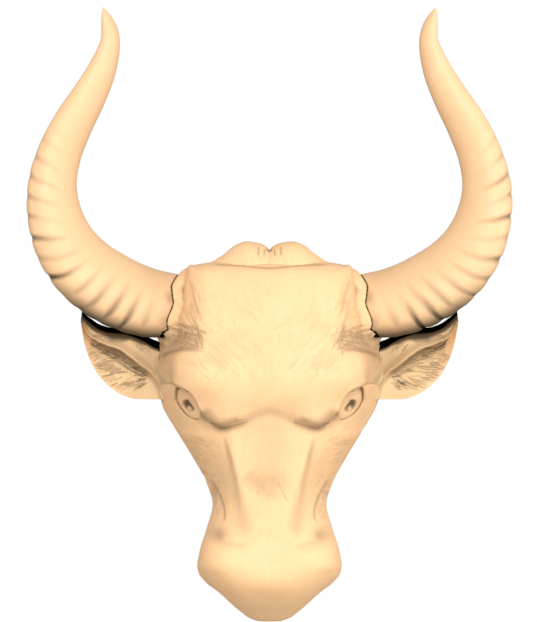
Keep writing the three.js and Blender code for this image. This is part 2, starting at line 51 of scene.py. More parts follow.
# %% [markdown]
# ## Numbers that flow
# A carver feels curves where we write numbers. Two helpers turn a few given numbers into a smooth
# flow: one for a value that changes along a length, such as the width of the head from poll to lips, and
# one for a line through a few points, such as the middle of a horn or a wrinkle. The first never overshoots
# between its rows, so no bump appears that nobody asked for.

# %% Helpers for smooth values and lines
def along(rows, place):
    """The value at a place, on a smooth curve through rows of (place, value)."""
    rows = np.array(rows, float)
    x, y = rows[np.argsort(rows[:, 0])].T
    rise = np.diff(y) / np.diff(x)
    before, after = rise[:-1], rise[1:]
    same_way = before * after > 0
    inner = np.where(same_way, 2 * before * after / np.where(same_way, before + after, 1), 0)
    slope = np.concatenate([rise[:1], inner, rise[-1:]])
    place = np.clip(place, x[0], x[-1])
    i = np.clip(np.searchsorted(x, place, side="right") - 1, 0, len(rise) - 1)
    h = x[i + 1] - x[i]
    t = (place - x[i]) / h
    ends = (2 * t**3 - 3 * t**2 + 1) * y[i] + (3 * t**2 - 2 * t**3) * y[i + 1]
    return ends + h * ((t**3 - 2 * t**2 + t) * slope[i] + (t**3 - t**2) * slope[i + 1])


def smooth_line(points, steps=6):
    """Points along a smooth line through the given ones, with a number of steps between each two."""
    p = np.array(points, float)
    p = np.vstack([2 * p[0] - p[1], p, 2 * p[-1] - p[-2]])
    t = np.arange(steps)[:, None] / steps
    made = []
    for a, b, c, d in zip(p[:-3], p[1:-2], p[2:-1], p[3:]):
        made.append(b + 0.5 * t * (c - a + t * (2 * a - 5 * b + 4 * c - d + t * (3 * (b - c) + d - a))))
    return np.vstack(made + [p[-2:-1]])


def ramp(value, low, high):
    """0 below low, 1 above high, with a soft step between."""
    t = np.clip((value - low) / (high - low), 0, 1)
    return t * t * (3 - 2 * t)


print("half way between 0 and 10:", float(along([(0, 0), (1, 10)], 0.5)))

# %% [markdown]
# ## One wood for everything
# The whole head is limewood: pale, close in the grain, smoothed and waxed. Shade is painted tan into the
# hollows, creases and hair, and nearly black into the seams round the horns, with their old wax, and onto
# the edges that lie in shadow under the horns. Each mesh carries that painted shade as a number on its
# points, and the material only reads it. So the painted shade follows the carving and stays with it in any
# view. The grain runs up the head, as it would in the block.

# %% A colour helper and a node helper
def linear(hex_colour):
    """An sRGB colour such as #ebc28e as linear red, green, blue and alpha."""
    parts = [int(hex_colour[i:i + 2], 16) / 255 for i in (1, 3, 5)]
    return [c / 12.92 if c <= 0.04045 else ((c + 0.055) / 1.055) ** 2.4 for c in parts] + [1.0]


def add_node(tree, kind, links=None, give=0, **settings):
    """Adds a node and gives one of its outputs, or all of them where give is None.

    links sets its inputs, by name or number, to a value or to another node's output.
    """
    node = tree.nodes.new(kind)
    for name, value in settings.items():
        setattr(node, name, value)
    for name, value in (links or {}).items():
        if isinstance(value, bpy.types.NodeSocket):
            tree.links.new(value, node.inputs[name])
        else:
            node.inputs[name].default_value = value
    return node.outputs if give is None else node.outputs[give]


print("linear cream:", [round(c, 3) for c in linear("#eabf90")])

# %% Carved, waxed limewood
GRAIN_WIDTH = 2.6  # mm across one streak of grain, drawn a little coarse so that it shows
GRAIN_LENGTH = 90  # mm along a streak
BLOTCH = 38  # mm across a patch that took the wax differently
PORE = 0.9  # mm across the fine tooth of the sanded surface
TAN_SHADE, BLACK_WAX_AND_SHADOW = "#75634c", "#050302"  # tan painted shade in a hollow, and black for painted deep shadow and for old wax and dust in a seam
FULL_TAN_LEVEL, BLACK_START_LEVEL = 0.6, 0.5  # level at which the tan shade is full, and at which the black begins


def limewood(name, pale, deep, roughness, tooth):
    """Pale close-grained wood under wax. tooth is the height of its fine surface in mm."""
    made = bpy.data.materials.new(name)
    made.use_nodes = True
    tree = made.node_tree
    shader = tree.nodes["Principled BSDF"]
    place = add_node(tree, "ShaderNodeTexCoord", give="Object")
    stretch = [1 / (size * MM) for size in (GRAIN_WIDTH, GRAIN_WIDTH, GRAIN_LENGTH)]
    run = add_node(tree, "ShaderNodeMapping", {"Vector": place, "Scale": stretch})
    streaks = {"Vector": run, "Scale": 1, "Detail": 3, "Distortion": 0.4}
    grain = add_node(tree, "ShaderNodeTexNoise", streaks)
    blotch = add_node(tree, "ShaderNodeTexNoise", {"Vector": place, "Scale": 1 / (BLOTCH * MM), "Detail": 2})
    both = add_node(tree, "ShaderNodeMath", {0: grain, 1: blotch}, operation="ADD")
    even = add_node(tree, "ShaderNodeMapRange", {"Value": both, "From Min": 0.6, "From Max": 1.4})
    colours = {0: even, 6: linear(deep), 7: linear(pale)}
    wood = add_node(tree, "ShaderNodeMix", colours, give=2, data_type="RGBA")

    # The number read here is mostly painted shade: tan in hollows, creases and hair, black in seams and
    # shadowed edges
    wax_and_shade = add_node(tree, "ShaderNodeAttribute", give="Fac", attribute_name="wax_and_shade")
    thin = add_node(tree, "ShaderNodeMapRange", {"Value": wax_and_shade, "From Max": FULL_TAN_LEVEL})
    colours = {0: thin, 6: wood, 7: linear(TAN_SHADE)}
    tanned = add_node(tree, "ShaderNodeMix", colours, give=2, data_type="RGBA")
    thick = add_node(tree, "ShaderNodeMapRange", {"Value": wax_and_shade, "From Min": BLACK_START_LEVEL, "From Max": 1.0})
    colours = {0: thick, 6: tanned, 7: linear(BLACK_WAX_AND_SHADOW)}
    shade = add_node(tree, "ShaderNodeMix", colours, give=2, data_type="RGBA")
    tree.links.new(shade, shader.inputs["Base Color"])

    rough = {"Value": even, "To Min": roughness + 0.05, "To Max": roughness - 0.05}
    tree.links.new(add_node(tree, "ShaderNodeMapRange", rough), shader.inputs["Roughness"])
    sheen = {"Value": wax_and_shade, "From Max": FULL_TAN_LEVEL, "To Min": 0.3, "To Max": 0.0}
    tree.links.new(add_node(tree, "ShaderNodeMapRange", sheen), shader.inputs["Specular IOR Level"])
    fine = add_node(tree, "ShaderNodeTexNoise", {"Vector": place, "Scale": 1 / (PORE * MM), "Detail": 2})
    surface = add_node(tree, "ShaderNodeMath", {0: fine, 1: grain}, operation="ADD")
    bump = add_node(tree, "ShaderNodeBump", {"Height": surface, "Distance": tooth * MM, "Strength": 1})
    tree.links.new(bump, shader.inputs["Normal"])
    return made


# Cut with gouges and sanded: a dull, soft sheen
carved_wood = limewood("carved_limewood", "#eabf90", "#e2b585", 0.6, 0.12)
# Rubbed smooth: a tighter sheen and hardly any tooth
polished_wood = limewood("polished_limewood", "#e6bc90", "#dfb486", 0.5, 0.05)
# A paler, less orange copy of the limewood for the ears, which offsets the orange light bounced between ear
# and horn
ear_wood = limewood("pale_limewood", "#e6c396", "#deb98a", 0.6, 0.12)
print("materials:", carved_wood.name, polished_wood.name, ear_wood.name)

# %% [markdown]
# ## Meshes from rings
# Head, ears, tuft and eyes are all skins over closed rings of points, as a lantern is a skin over hoops.
# One helper closes such a skin at both ends and gives it its wood and its painted shade. A second finds
# which way the skin faces, because everything that is carved into it goes in along that direction.

# %% Helpers for skins over rings
def facing(rings):
    """The outward direction of every point of a skin over rings."""
    round_about = np.roll(rings, -1, axis=1) - np.roll(rings, 1, axis=1)
    down = np.gradient(rings, axis=0)
    normal = np.cross(down, round_about)
    normal /= np.linalg.norm(normal, axis=2, keepdims=True) + 1e-12
    middle = rings.mean(axis=1, keepdims=True)
    outward = np.sign(np.sum(normal * (rings - middle)))
    return normal * outward


def spread(values, times):
    """Values on a grid of rings, each shared with its neighbours a number of times."""
    for _ in range(times):
        values = (np.roll(values, 1, axis=1) + 2 * values + np.roll(values, -1, axis=1)) / 4
        padded = np.concatenate([values[:1], values, values[-1:]])
        values = (padded[:-2] + 2 * padded[1:-1] + padded[2:]) / 4
    return values


def hollowness(rings, times, depth):
    """How much a point lies below its neighbours, as a share of a depth in mm, from 0 to 1."""
    below = np.sum((spread(rings, times) - rings) * facing(rings), axis=2)
    return np.clip(below / depth, 0, 1)


def skin(name, rings, wax_and_shade, wood):
    """A closed smooth mesh over rings in mm, with its painted shade and its wood."""
    count, around = rings.shape[:2]
    first = np.arange(count - 1)[:, None] * around
    k = np.arange(around)[None, :]
    following = (k + 1) % around
    quads = np.stack([first + k, first + following, first + around + following, first + around + k], axis=2)
    faces = quads.reshape(-1, 4).tolist()
    top, bottom = count * around, count * around + 1
    last = (count - 1) * around
    for i in range(around):
        j = (i + 1) % around
        faces += [[j, i, top], [last + i, last + j, bottom]]
    points = np.vstack([rings.reshape(-1, 3), rings[0].mean(axis=0), rings[-1].mean(axis=0)])
    mesh = bpy.data.meshes.new(name)
    mesh.from_pydata((points * MM).tolist(), [], faces)
    a, b, c = points[quads[..., 0]], points[quads[..., 1]], points[quads[..., 2]]
    if np.sum(a * np.cross(b, c)) < 0:
        mesh.flip_normals()
    mesh.shade_smooth()
    levels = np.concatenate([wax_and_shade.reshape(-1), [wax_and_shade[0].mean(), wax_and_shade[-1].mean()]])
    mesh.attributes.new("wax_and_shade", "FLOAT", "POINT").data.foreach_set("value", np.clip(levels, 0, 1))
    mesh.materials.append(wood)
    piece = bpy.data.objects.new(name, mesh)
    bpy.context.scene.collection.objects.link(piece)
    triangles = sum(len(p.vertices) - 2 for p in mesh.polygons)
    print(f"{name}: {triangles} triangles")
    return piece


# %% [markdown]
# ## Gouge strokes
# Wrinkles, folds and hair are all cut with a gouge: a stroke follows a line, is deepest in the middle of
# its width and runs out at both ends. A list of strokes is cut into a skin in one pass. Hair is many
# short strokes that start at random places in a patch and lie along the coat. The random draws come from
# one seeded source, so every run gives the same head.

# %% Helpers for strokes
dice = np.random.default_rng(7)
RUN_OUT = 0.18  # share of a stroke over which it runs out at each end
TRACE = 2.6  # half widths from the line beyond which a stroke leaves no trace


def cut(across, up, strokes):
    """Depth in mm and painted shade left by strokes at places across and up.

    A stroke is a line, a half width, a depth and a painted shade; each of the last three may be a pair, for
    both ends.
    """
    depth = np.zeros(across.shape)
    wax_and_shade = np.zeros(across.shape)
    for line, half, deep, dark in strokes:
        reach = TRACE * np.max(half)
        low, high = line.min(axis=0) - reach, line.max(axis=0) + reach
        near = np.nonzero((across > low[0]) & (across < high[0]) & (up > low[1]) & (up < high[1]))
        p = np.stack([across[near], up[near]], axis=1)
        lengths = np.linalg.norm(np.diff(line, axis=0), axis=1)
        travelled = np.concatenate([[0], np.cumsum(lengths)])
        best = np.full(len(p), np.inf)
        share = np.zeros(len(p))
        for k, edge in enumerate(np.diff(line, axis=0)):
            t = np.clip((p - line[k]) @ edge / lengths[k] ** 2, 0, 1)
            far = np.linalg.norm(p - line[k] - t[:, None] * edge, axis=1)
            closer = far < best
            best[closer] = far[closer]
            share[closer] = ((travelled[k] + t * lengths[k]) / travelled[-1])[closer]
        ends = ramp(np.minimum(share, 1 - share), 0, RUN_OUT)
        half, deep, dark = [np.interp(share, (0, 1), np.broadcast_to(v, 2)) for v in (half, deep, dark)]
        mark = np.exp(-((best / half) ** 2)) * ends
        depth[near] = np.maximum(depth[near], deep * mark)
        wax_and_shade[near] = np.maximum(wax_and_shade[near], dark * mark)
    return depth, wax_and_shade


def hair(count, middle, size, angle, swing, length, half, deep, dark, curl=0):
    """Short strokes in a patch. They lie along an angle in degrees, give or take swing, and may curl."""
    strokes = []
    for _ in range(count):
        start = np.array(middle) + np.array(size) * np.clip(dice.normal(0, 0.5, 2), -1, 1)
        lie = math.radians(angle + dice.uniform(-swing, swing))
        bend = math.radians(curl + dice.uniform(-8, 8))
        turns = lie + bend * np.arange(3)
        steps = np.stack([np.cos(turns), np.sin(turns)], axis=1) * length * dice.uniform(0.6, 1.3) / 3
        line = smooth_line(np.vstack([start, start + np.cumsum(steps, axis=0)]), 3)
        width = half * dice.uniform(0.7, 1.3)
        depth = deep * dice.uniform(0.5, 1.2)
        shade = dark * dice.uniform(0.4, 1.2)
        strokes.append((line, width, depth, shade))
    return strokes


def drawn(table):
    """Strokes along smooth lines, from a table of named strokes."""
    return [(smooth_line(line), half, deep, dark) for line, half, deep, dark in table.values()]


def combed(table):
    """Hair in all patches of a table of named patches."""
    strokes = []
    for patch in table.values():
        strokes += hair(*patch)
    return strokes


print("strokes are drawn from a seeded source:", dice.bit_generator.__class__.__name__)

# %% [markdown]
# ## The plain form of the head
# Before any feature is cut, the block is brought to its main shape: a flat forehead and nose, sides that
# turn back, a narrow nose and a broad muzzle that ends in a V. Each level down the head has a width, a
# depth in front, at the side and behind, and says how much of it is flat. The rows are the same ones that
# the solids are made from, only read far more closely.

# %% Levels of the head, in mm: height, half width, front, side, back, flat share, squareness of the turn
LEVELS = np.array([
    (189, 60, -122, -80, 6, 0.6, 2.0), (181, 98, -151, -84, 12, 0.7, 2.2),
    (170, 111, -167, -88, 14, 0.68, 2.1), (133, 118, -187, -95, 20, 0.64, 2.0),
    (100, 128, -197, -96, 24, 0.62, 2.0), (80, 143, -202, -96, 24, 0.6, 1.9),
    (60, 149, -206, -94, 24, 0.56, 1.85), (36, 148, -208, -92, 24, 0.52, 1.8),
    (-1, 140, -202, -88, 20, 0.4, 1.6), (-33, 122, -198, -84, 12, 0.4, 1.45),
    (-64, 103, -201, -84, -2, 0.45, 1.45), (-103, 82, -203, -98, -36, 0.5, 1.5),
    (-130, 75.5, -204.5, -112, -50, 0.48, 1.7), (-165, 83.5, -208.5, -128, -60, 0.48, 2.0),
    (-182, 88.5, -212, -134, -64, 0.52, 2.2),
    (-195, 91, -214.5, -136, -66, 0.54, 2.3), (-208, 93.2, -215, -135, -68, 0.52, 2.2),
    (-218, 91.5, -213.4, -131, -71, 0.46, 2.0), (-228, 84.5, -209, -127, -75, 0.42, 2.0),
    (-239, 72.6, -201.5, -123, -80, 0.4, 2.0), (-254, 55.4, -184, -118, -86, 0.4, 2.0),
    (-270, 36.3, -156, -112, -92, 0.4, 2.0), (-277.5, 26, -141, -109, -96, 0.4, 2.0),
    (-281, 16, -131, -108, -98, 0.4, 2.0),
])
FACE_CROWN = 0.066  # how far the flat of the face falls away to its edges, as a share of its half width
BACK_BLUNT = 2.2  # squareness of the back
ROWS = 318  # rings down the head
ROW_HEIGHTS = [
    (0, 189), (0.17, 110), (0.31, 50), (0.36, 32), (0.62, -42), (0.67, -60), (0.84, -160), (1, -281),
]  # share of the rings and height: the rings lie closest at the eyes
FLAT, TURN, BACK = 34, 94, 24  # points across half of the flat, round the turn and round half of the back
TURN_ANGLES = [(0, 0), (0.2, 22), (0.78, 60), (1, 90)]  # share of the points round the turn, and degrees
BACK_CROWD = 1.25  # above 1 the points of the back crowd towards the side


def level(z):
    """Half width, front, side, back, flat share and squareness at heights z."""
    return [along(LEVELS[:, [0, i]], z) for i in range(1, 7)]


def run_on(crown, flat, turn):
    """Carries the slope of the flat on into the turn, so that no edge shows between them."""
    return 2 * crown * (1 / flat - 1) * turn * (1 - turn) ** 2


def face_depth(x, z):
    """Depth of the plain face at places seen from the front."""
    half, front, side, _, flat, blunt = level(z)
    crown = FACE_CROWN * half * flat
    t = np.abs(x) / half
    turn = np.clip((t - flat) / (1 - flat), 0, 1)
    bent = side + (front + crown - side) * (1 - turn**blunt) ** (1 / blunt)
    return np.where(t <= flat, front + crown * (t / flat) ** 2, bent + run_on(crown, flat, turn))


def plain_head():
    """Rings of the head with no features, from the poll down."""
    z = along(ROW_HEIGHTS, np.linspace(0, 1, ROWS))[:, None]
    half, front, side, back, flat, blunt = level(z)
    crown = FACE_CROWN * half * flat
    q = np.arange(FLAT)[None, :] / FLAT
    angle = np.radians(along(TURN_ANGLES, np.arange(TURN) / TURN))[None, :]
    s, c = np.sin(angle) ** (2 / blunt), np.cos(angle) ** (2 / blunt)
    angle = (np.arange(BACK + 1)[None, :] / BACK) ** BACK_CROWD * math.pi / 2
    sb, cb = np.sin(angle) ** (2 / BACK_BLUNT), np.abs(np.cos(angle)) ** (2 / BACK_BLUNT)
    x = np.hstack([half * flat * q, half * (flat + (1 - flat) * s), half * cb])
    turned = side + (front + crown - side) * c + run_on(crown, flat, s)
    y = np.hstack([front + crown * q**2, turned, side + (back - side) * sb])
    x[:, -1] = 0
    x = np.hstack([x, -x[:, -2:0:-1]])
    y = np.hstack([y, y[:, -2:0:-1]])
    return np.stack([x, y, np.broadcast_to(z, x.shape)], axis=2)


head = plain_head()
print("plain head, mm:", np.ptp(head.reshape(-1, 3), axis=0).round(1))

# %% [markdown]
# ## Brow, hollows and swellings
# The broad modelling comes next: soft dabs that push the surface out or in, on both sides alike, and the
# brow, a thick fold of skin that hangs over the eyes and ends in a clear edge. The dabs are bell shaped, so
# they never leave a border of their own.

# %% Broad modelling, in mm: place and half size seen from the front, height, and painted shade
# The last number of a dab is painted shade, laid where shade falls: eye corners, temples, brows and nose
DABS = {
    "eye socket": (108, -8, 24, 26, -6, 0), "inner corner of the eye": (90, -17, 7, 7, -4, 0.4),
    "temple hollow": (124, 87, 25, 15, -9, 0.2), "brow swelling": (84, 40, 38, 24, 4, 0),
    "cheek hollow": (70, -96, 15, 36, -5, 0), "fold over the muzzle": (67, -166, 11, 9, -2.4, 0.3),
    "upper lip": (52, -200, 30, 18, 5, 0), "front of the lip": (0, -226, 42, 16, 5, 0),
    "bridge of the nose": (6, -101, 17, 14, -2.0, 0.1), "between the brows": (0, -6, 34, 13, -3, 0.05),
    "bag under the eye": (98, -40, 20, 9, 2.5, 0), "corner of the poll": (103, 180, 6, 7, 6, 0),
    "before the ear": (137, 82, 14, 11, -2, 0.12), "behind the brow": (139, 48, 16, 22, -3, 0.15),
    "top of the nose": (0, -48, 36, 24, -1, 0.09), "over the eye": (124, 38, 20, 11, -1, 0.1),
    "ridge of the nose": (0, -88, 30, 40, 0, 0.11), "under the temple": (144, 63, 30, 10, -1, 0.14),
    "under the arch": (0, -20, 40, 14, 0, 0.11), "foot of the brow": (44, -4, 28, 15, 0, 0.08),
}
BROW_LINE = [
    (0, -6), (23, -20), (38, -25), (62, -32), (70, -28.5), (77, -23.5), (87, -12), (92, -2), (98, 9),
    (104, 17), (113, 22.5), (128, 31),
]
BROW_LIFT, BROW_FADE = 9, 36
BROW_EDGE = [(50, 15), (80, 11), (105, 6)]  # how softly the brow turns under, by the place across
BROW_INNER, BROW_FULL = 22, 58  # across: where the brow begins, and where it has its full height
BROW_OUTER, BROW_RUN_OUT = 134, 20  # where it ends, and the length over which it runs out
MODELLING_LIMIT, MODELLING_FADE = -90, 25  # the modelling fades out behind this depth
NOSTRIL = (60, -131, -246)
# The nostril pit is painted dark as shade
NOSTRIL_SIZE, NOSTRIL_DEPTH, NOSTRIL_SHADE = 10, 9, 0.8


def broad_modelling(points):
    """Height of dabs, brow and nostrils at points of the plain head, and the painted shade in them."""
    x, y, z = np.abs(points[..., 0]), points[..., 1], points[..., 2]
    height, wax_and_shade = np.zeros((2,) + x.shape)
    for at_x, at_z, half_x, half_z, lift, dark in DABS.values():
        bell = np.exp(-(((x - at_x) / half_x) ** 2) - ((z - at_z) / half_z) ** 2)
        height += lift * bell
        wax_and_shade += dark * bell
    above = z - along(BROW_LINE, x)
    ends = ramp(BROW_OUTER - x, 0, BROW_RUN_OUT) * ramp(x, BROW_INNER, BROW_FULL)
    fold = ramp(above / along(BROW_EDGE, x), -0.1, 1) * np.exp(-np.maximum(above, 0) / BROW_FADE)
    height += ends * BROW_LIFT * fold
    in_front = ramp(MODELLING_LIMIT - y, 0, MODELLING_FADE)
    near = np.linalg.norm(np.stack([x, y, z], axis=-1) - NOSTRIL, axis=-1) / NOSTRIL_SIZE
    pit = np.exp(-(near**2))
    return height * in_front - NOSTRIL_DEPTH * pit, wax_and_shade * in_front + NOSTRIL_SHADE * pit**2


height, broad_shade = broad_modelling(head)
head = head + facing(head) * height[..., None]
print("modelling from", height.min().round(1), "to", height.max().round(1), "mm")

# %% [markdown]
# ## Horns by a rule of growth
# A horn grows ring by ring from its root. That is a rule, so Geometry Nodes make it: a flat grid is rolled
# round the horn's centre line. Along the grid runs the growth, across it goes round the horn. The section
# is an oval that is turned a little, and the growth rings are narrow grooves, deep on the outside of the
# bend and lost on the inside. A wave texture spaces them, with some distortion, because no two rings
# are alike. The tree also writes painted shade into the grooves, along the underside and along the inside of
# the bend.

# %% Centre line and thickness of a horn, in mm
HORN_ROWS = np.array([
    (127, -97, 129, 42), (166, -102, 135, 45.5), (205, -109, 151, 46.5), (240, -116, 176, 44),
    (265, -122, 208, 40), (279, -126, 246, 35.5), (282, -128, 286, 31.5), (273, -127, 326, 28.5),
    (256, -124, 364, 26), (235, -121, 401, 22.5), (217, -119, 438, 18), (207, -121, 477, 13),
    (216, -127, 517, 1),
])  # across, depth, up and half thickness
ROOT_INSIDE = 22  # length of the root in the head
TIP = [
    (0.917, 12), (0.94, 10.6), (0.965, 7.8), (0.985, 4), (0.993, 2), (1, 0),
]  # share of the length, and half thickness
LINE_STEPS = 20
OVAL, OVAL_TURN = 0.68, 0.6  # thickness of the section over its width, and how far it is turned, in radians
OVAL_REACH = math.hypot(math.cos(OVAL_TURN), OVAL * math.sin(OVAL_TURN))  # half width, seen from the front


def horn_line(side):
    """Points along the middle of a horn and its radius there, from inside the head to the tip."""
    rows = HORN_ROWS * [side, 1, 1, 1]
    line = smooth_line(rows[:, :3], LINE_STEPS)
    share = np.linspace(0, 1, len(line))
    table = list(zip(np.linspace(0, 1, len(rows)), rows[:, 3]))[:-2]
    radius = along(table + TIP, share) / OVAL_REACH
    start = line[0] - (line[1] - line[0]) / np.linalg.norm(line[1] - line[0]) * ROOT_INSIDE
    line = np.vstack([start, start, line])
    return line, np.concatenate([[0, radius[0]], radius])


print("points along the middle of a horn:", len(horn_line(1)[0]))

# %% What the tree takes
HORN_RINGS, HORN_SIDES = 440, 130
HORN_INPUTS = {
    "Side": 1.0,  # 1 for the viewer's right, -1 for the left
    "Crowding": 1.25,  # above 1 the rows of points crowd towards the root
    "Oval": OVAL,
    "Turn": OVAL_TURN,
    "Rings": 7.6,  # scale of the wave that spaces the rings
    "Lean": -0.04,  # how far a ring leans to the root on its outer side
    "Sharpness": 4.0,  # narrowness of the grooves
    "Groove depth": 0.0018,  # metres
    "Underside shade": 0.62,  # painted shade along the underside, near the root
    "Inside shade": 0.1,  # painted shade along the inside of the bend
    "Seed": 0.0,
}
FULL_GROOVE = 0.03  # metres: where the horn is thinner than this, the grooves are shallower
print("the tree takes:", ", ".join(HORN_INPUTS))


# %% The section of a horn
def oval_section(tree, given, turn):
    """A point of the turned oval, at a turn round the horn: outward and upward in the section."""
    cosine = add_node(tree, "ShaderNodeMath", {0: turn}, operation="COSINE")
    sine = add_node(tree, "ShaderNodeMath", {0: turn}, operation="SINE")
    narrow = add_node(tree, "ShaderNodeMath", {0: sine, 1: given["Oval"]}, operation="MULTIPLY")
    oval = add_node(tree, "ShaderNodeCombineXYZ", {"X": cosine, "Y": narrow})
    lie = {"Vector": oval, "Angle": given["Turn"]}
    turned = add_node(tree, "ShaderNodeVectorRotate", lie, rotation_type="Z_AXIS")
    return add_node(tree, "ShaderNodeSeparateXYZ", {0: turned}, give=None)


# %% Growth rings
def growth_rings(tree, given, share, outer):
    """How strongly a ring is cut, from 0 to about 1. share runs along the horn, outer round the bend."""
    leaning = {0: outer, 1: given["Lean"], 2: share}
    lean = add_node(tree, "ShaderNodeMath", leaning, operation="MULTIPLY_ADD")
    side_way = add_node(tree, "ShaderNodeMath", {0: outer, 1: 0.25}, operation="MULTIPLY")
    path = add_node(tree, "ShaderNodeCombineXYZ", {"X": lean, "Y": side_way, "Z": given["Seed"]})
    waves = {"Vector": path, "Scale": given["Rings"], "Distortion": 2.6, "Detail": 1, "Detail Scale": 0.5}
    wave = add_node(tree, "ShaderNodeTexWave", waves, give="Fac")
    valley = add_node(tree, "ShaderNodeMath", {0: 1.0, 1: wave}, operation="SUBTRACT")
    narrowing = {"Value": share, "From Min": 0.2, "From Max": 0.4, "To Min": 1.5}
    narrowing["To Max"] = given["Sharpness"]
    sharp = add_node(tree, "ShaderNodeMapRange", narrowing)
    groove = add_node(tree, "ShaderNodeMath", {0: valley, 1: sharp}, operation="POWER")

    coming = {"Value": share, "From Min": 0.07, "From Max": 0.16}
    start = add_node(tree, "ShaderNodeMapRange", coming, interpolation_type="SMOOTHSTEP")
    going = {"Value": share, "From Min": 0.5, "From Max": 0.68, "To Min": 1, "To Max": 0}
    stop = add_node(tree, "ShaderNodeMapRange", going, interpolation_type="SMOOTHSTEP")
    where = add_node(tree, "ShaderNodeMath", {0: start, 1: stop}, operation="MULTIPLY")
    low = add_node(tree, "ShaderNodeMath", {0: outer, 1: 1.6}, operation="POWER")
    outside = add_node(tree, "ShaderNodeMath", {0: low, 1: where}, operation="MULTIPLY")

    counting = {0: share, 1: 26, 2: given["Seed"]}
    count = add_node(tree, "ShaderNodeMath", counting, operation="MULTIPLY_ADD")
    chances = {"W": count, "Scale": 1, "Detail": 0}
    chance = add_node(tree, "ShaderNodeTexNoise", chances, noise_dimensions="1D")
    vigours = {"Value": chance, "From Min": 0.3, "From Max": 0.7, "To Min": 0.4, "To Max": 1.15}
    vigour = add_node(tree, "ShaderNodeMapRange", vigours)
    even = add_node(tree, "ShaderNodeMath", {0: groove, 1: outside}, operation="MULTIPLY")
    return add_node(tree, "ShaderNodeMath", {0: even, 1: vigour}, operation="MULTIPLY")


# %% Painted shade on a horn
def horn_painted_shade(tree, given, share, outward, rings):
    """Painted shade in the rings, along the underside near the root and along the inside of the bend."""
    fading = {"Value": share, "From Min": 0.1, "From Max": 0.4, "To Min": 1.1, "To Max": 0.5}
    root = add_node(tree, "ShaderNodeMapRange", fading)
    in_rings = add_node(tree, "ShaderNodeMath", {0: rings, 1: root}, operation="MULTIPLY")
    lowest = {"Value": outward, "From Min": 0.42, "From Max": 0.92, "To Max": given["Underside shade"]}
    under = add_node(tree, "ShaderNodeMapRange", lowest, interpolation_type="SMOOTHSTEP")
    ending = {"Value": share, "From Min": 0.22, "From Max": 0.36, "To Min": 1, "To Max": 0}
    near_root = add_node(tree, "ShaderNodeMapRange", ending, interpolation_type="SMOOTHSTEP")
    below = add_node(tree, "ShaderNodeMath", {0: under, 1: near_root}, operation="MULTIPLY")
    inmost = {"Value": outward, "From Min": -0.9, "From Max": 0, "To Min": given["Inside shade"], "To Max": 0}
    inside = add_node(tree, "ShaderNodeMapRange", inmost)
    plain = add_node(tree, "ShaderNodeMath", {0: below, 1: inside}, operation="ADD")
    return add_node(tree, "ShaderNodeMath", {0: in_rings, 1: plain}, operation="MAXIMUM")


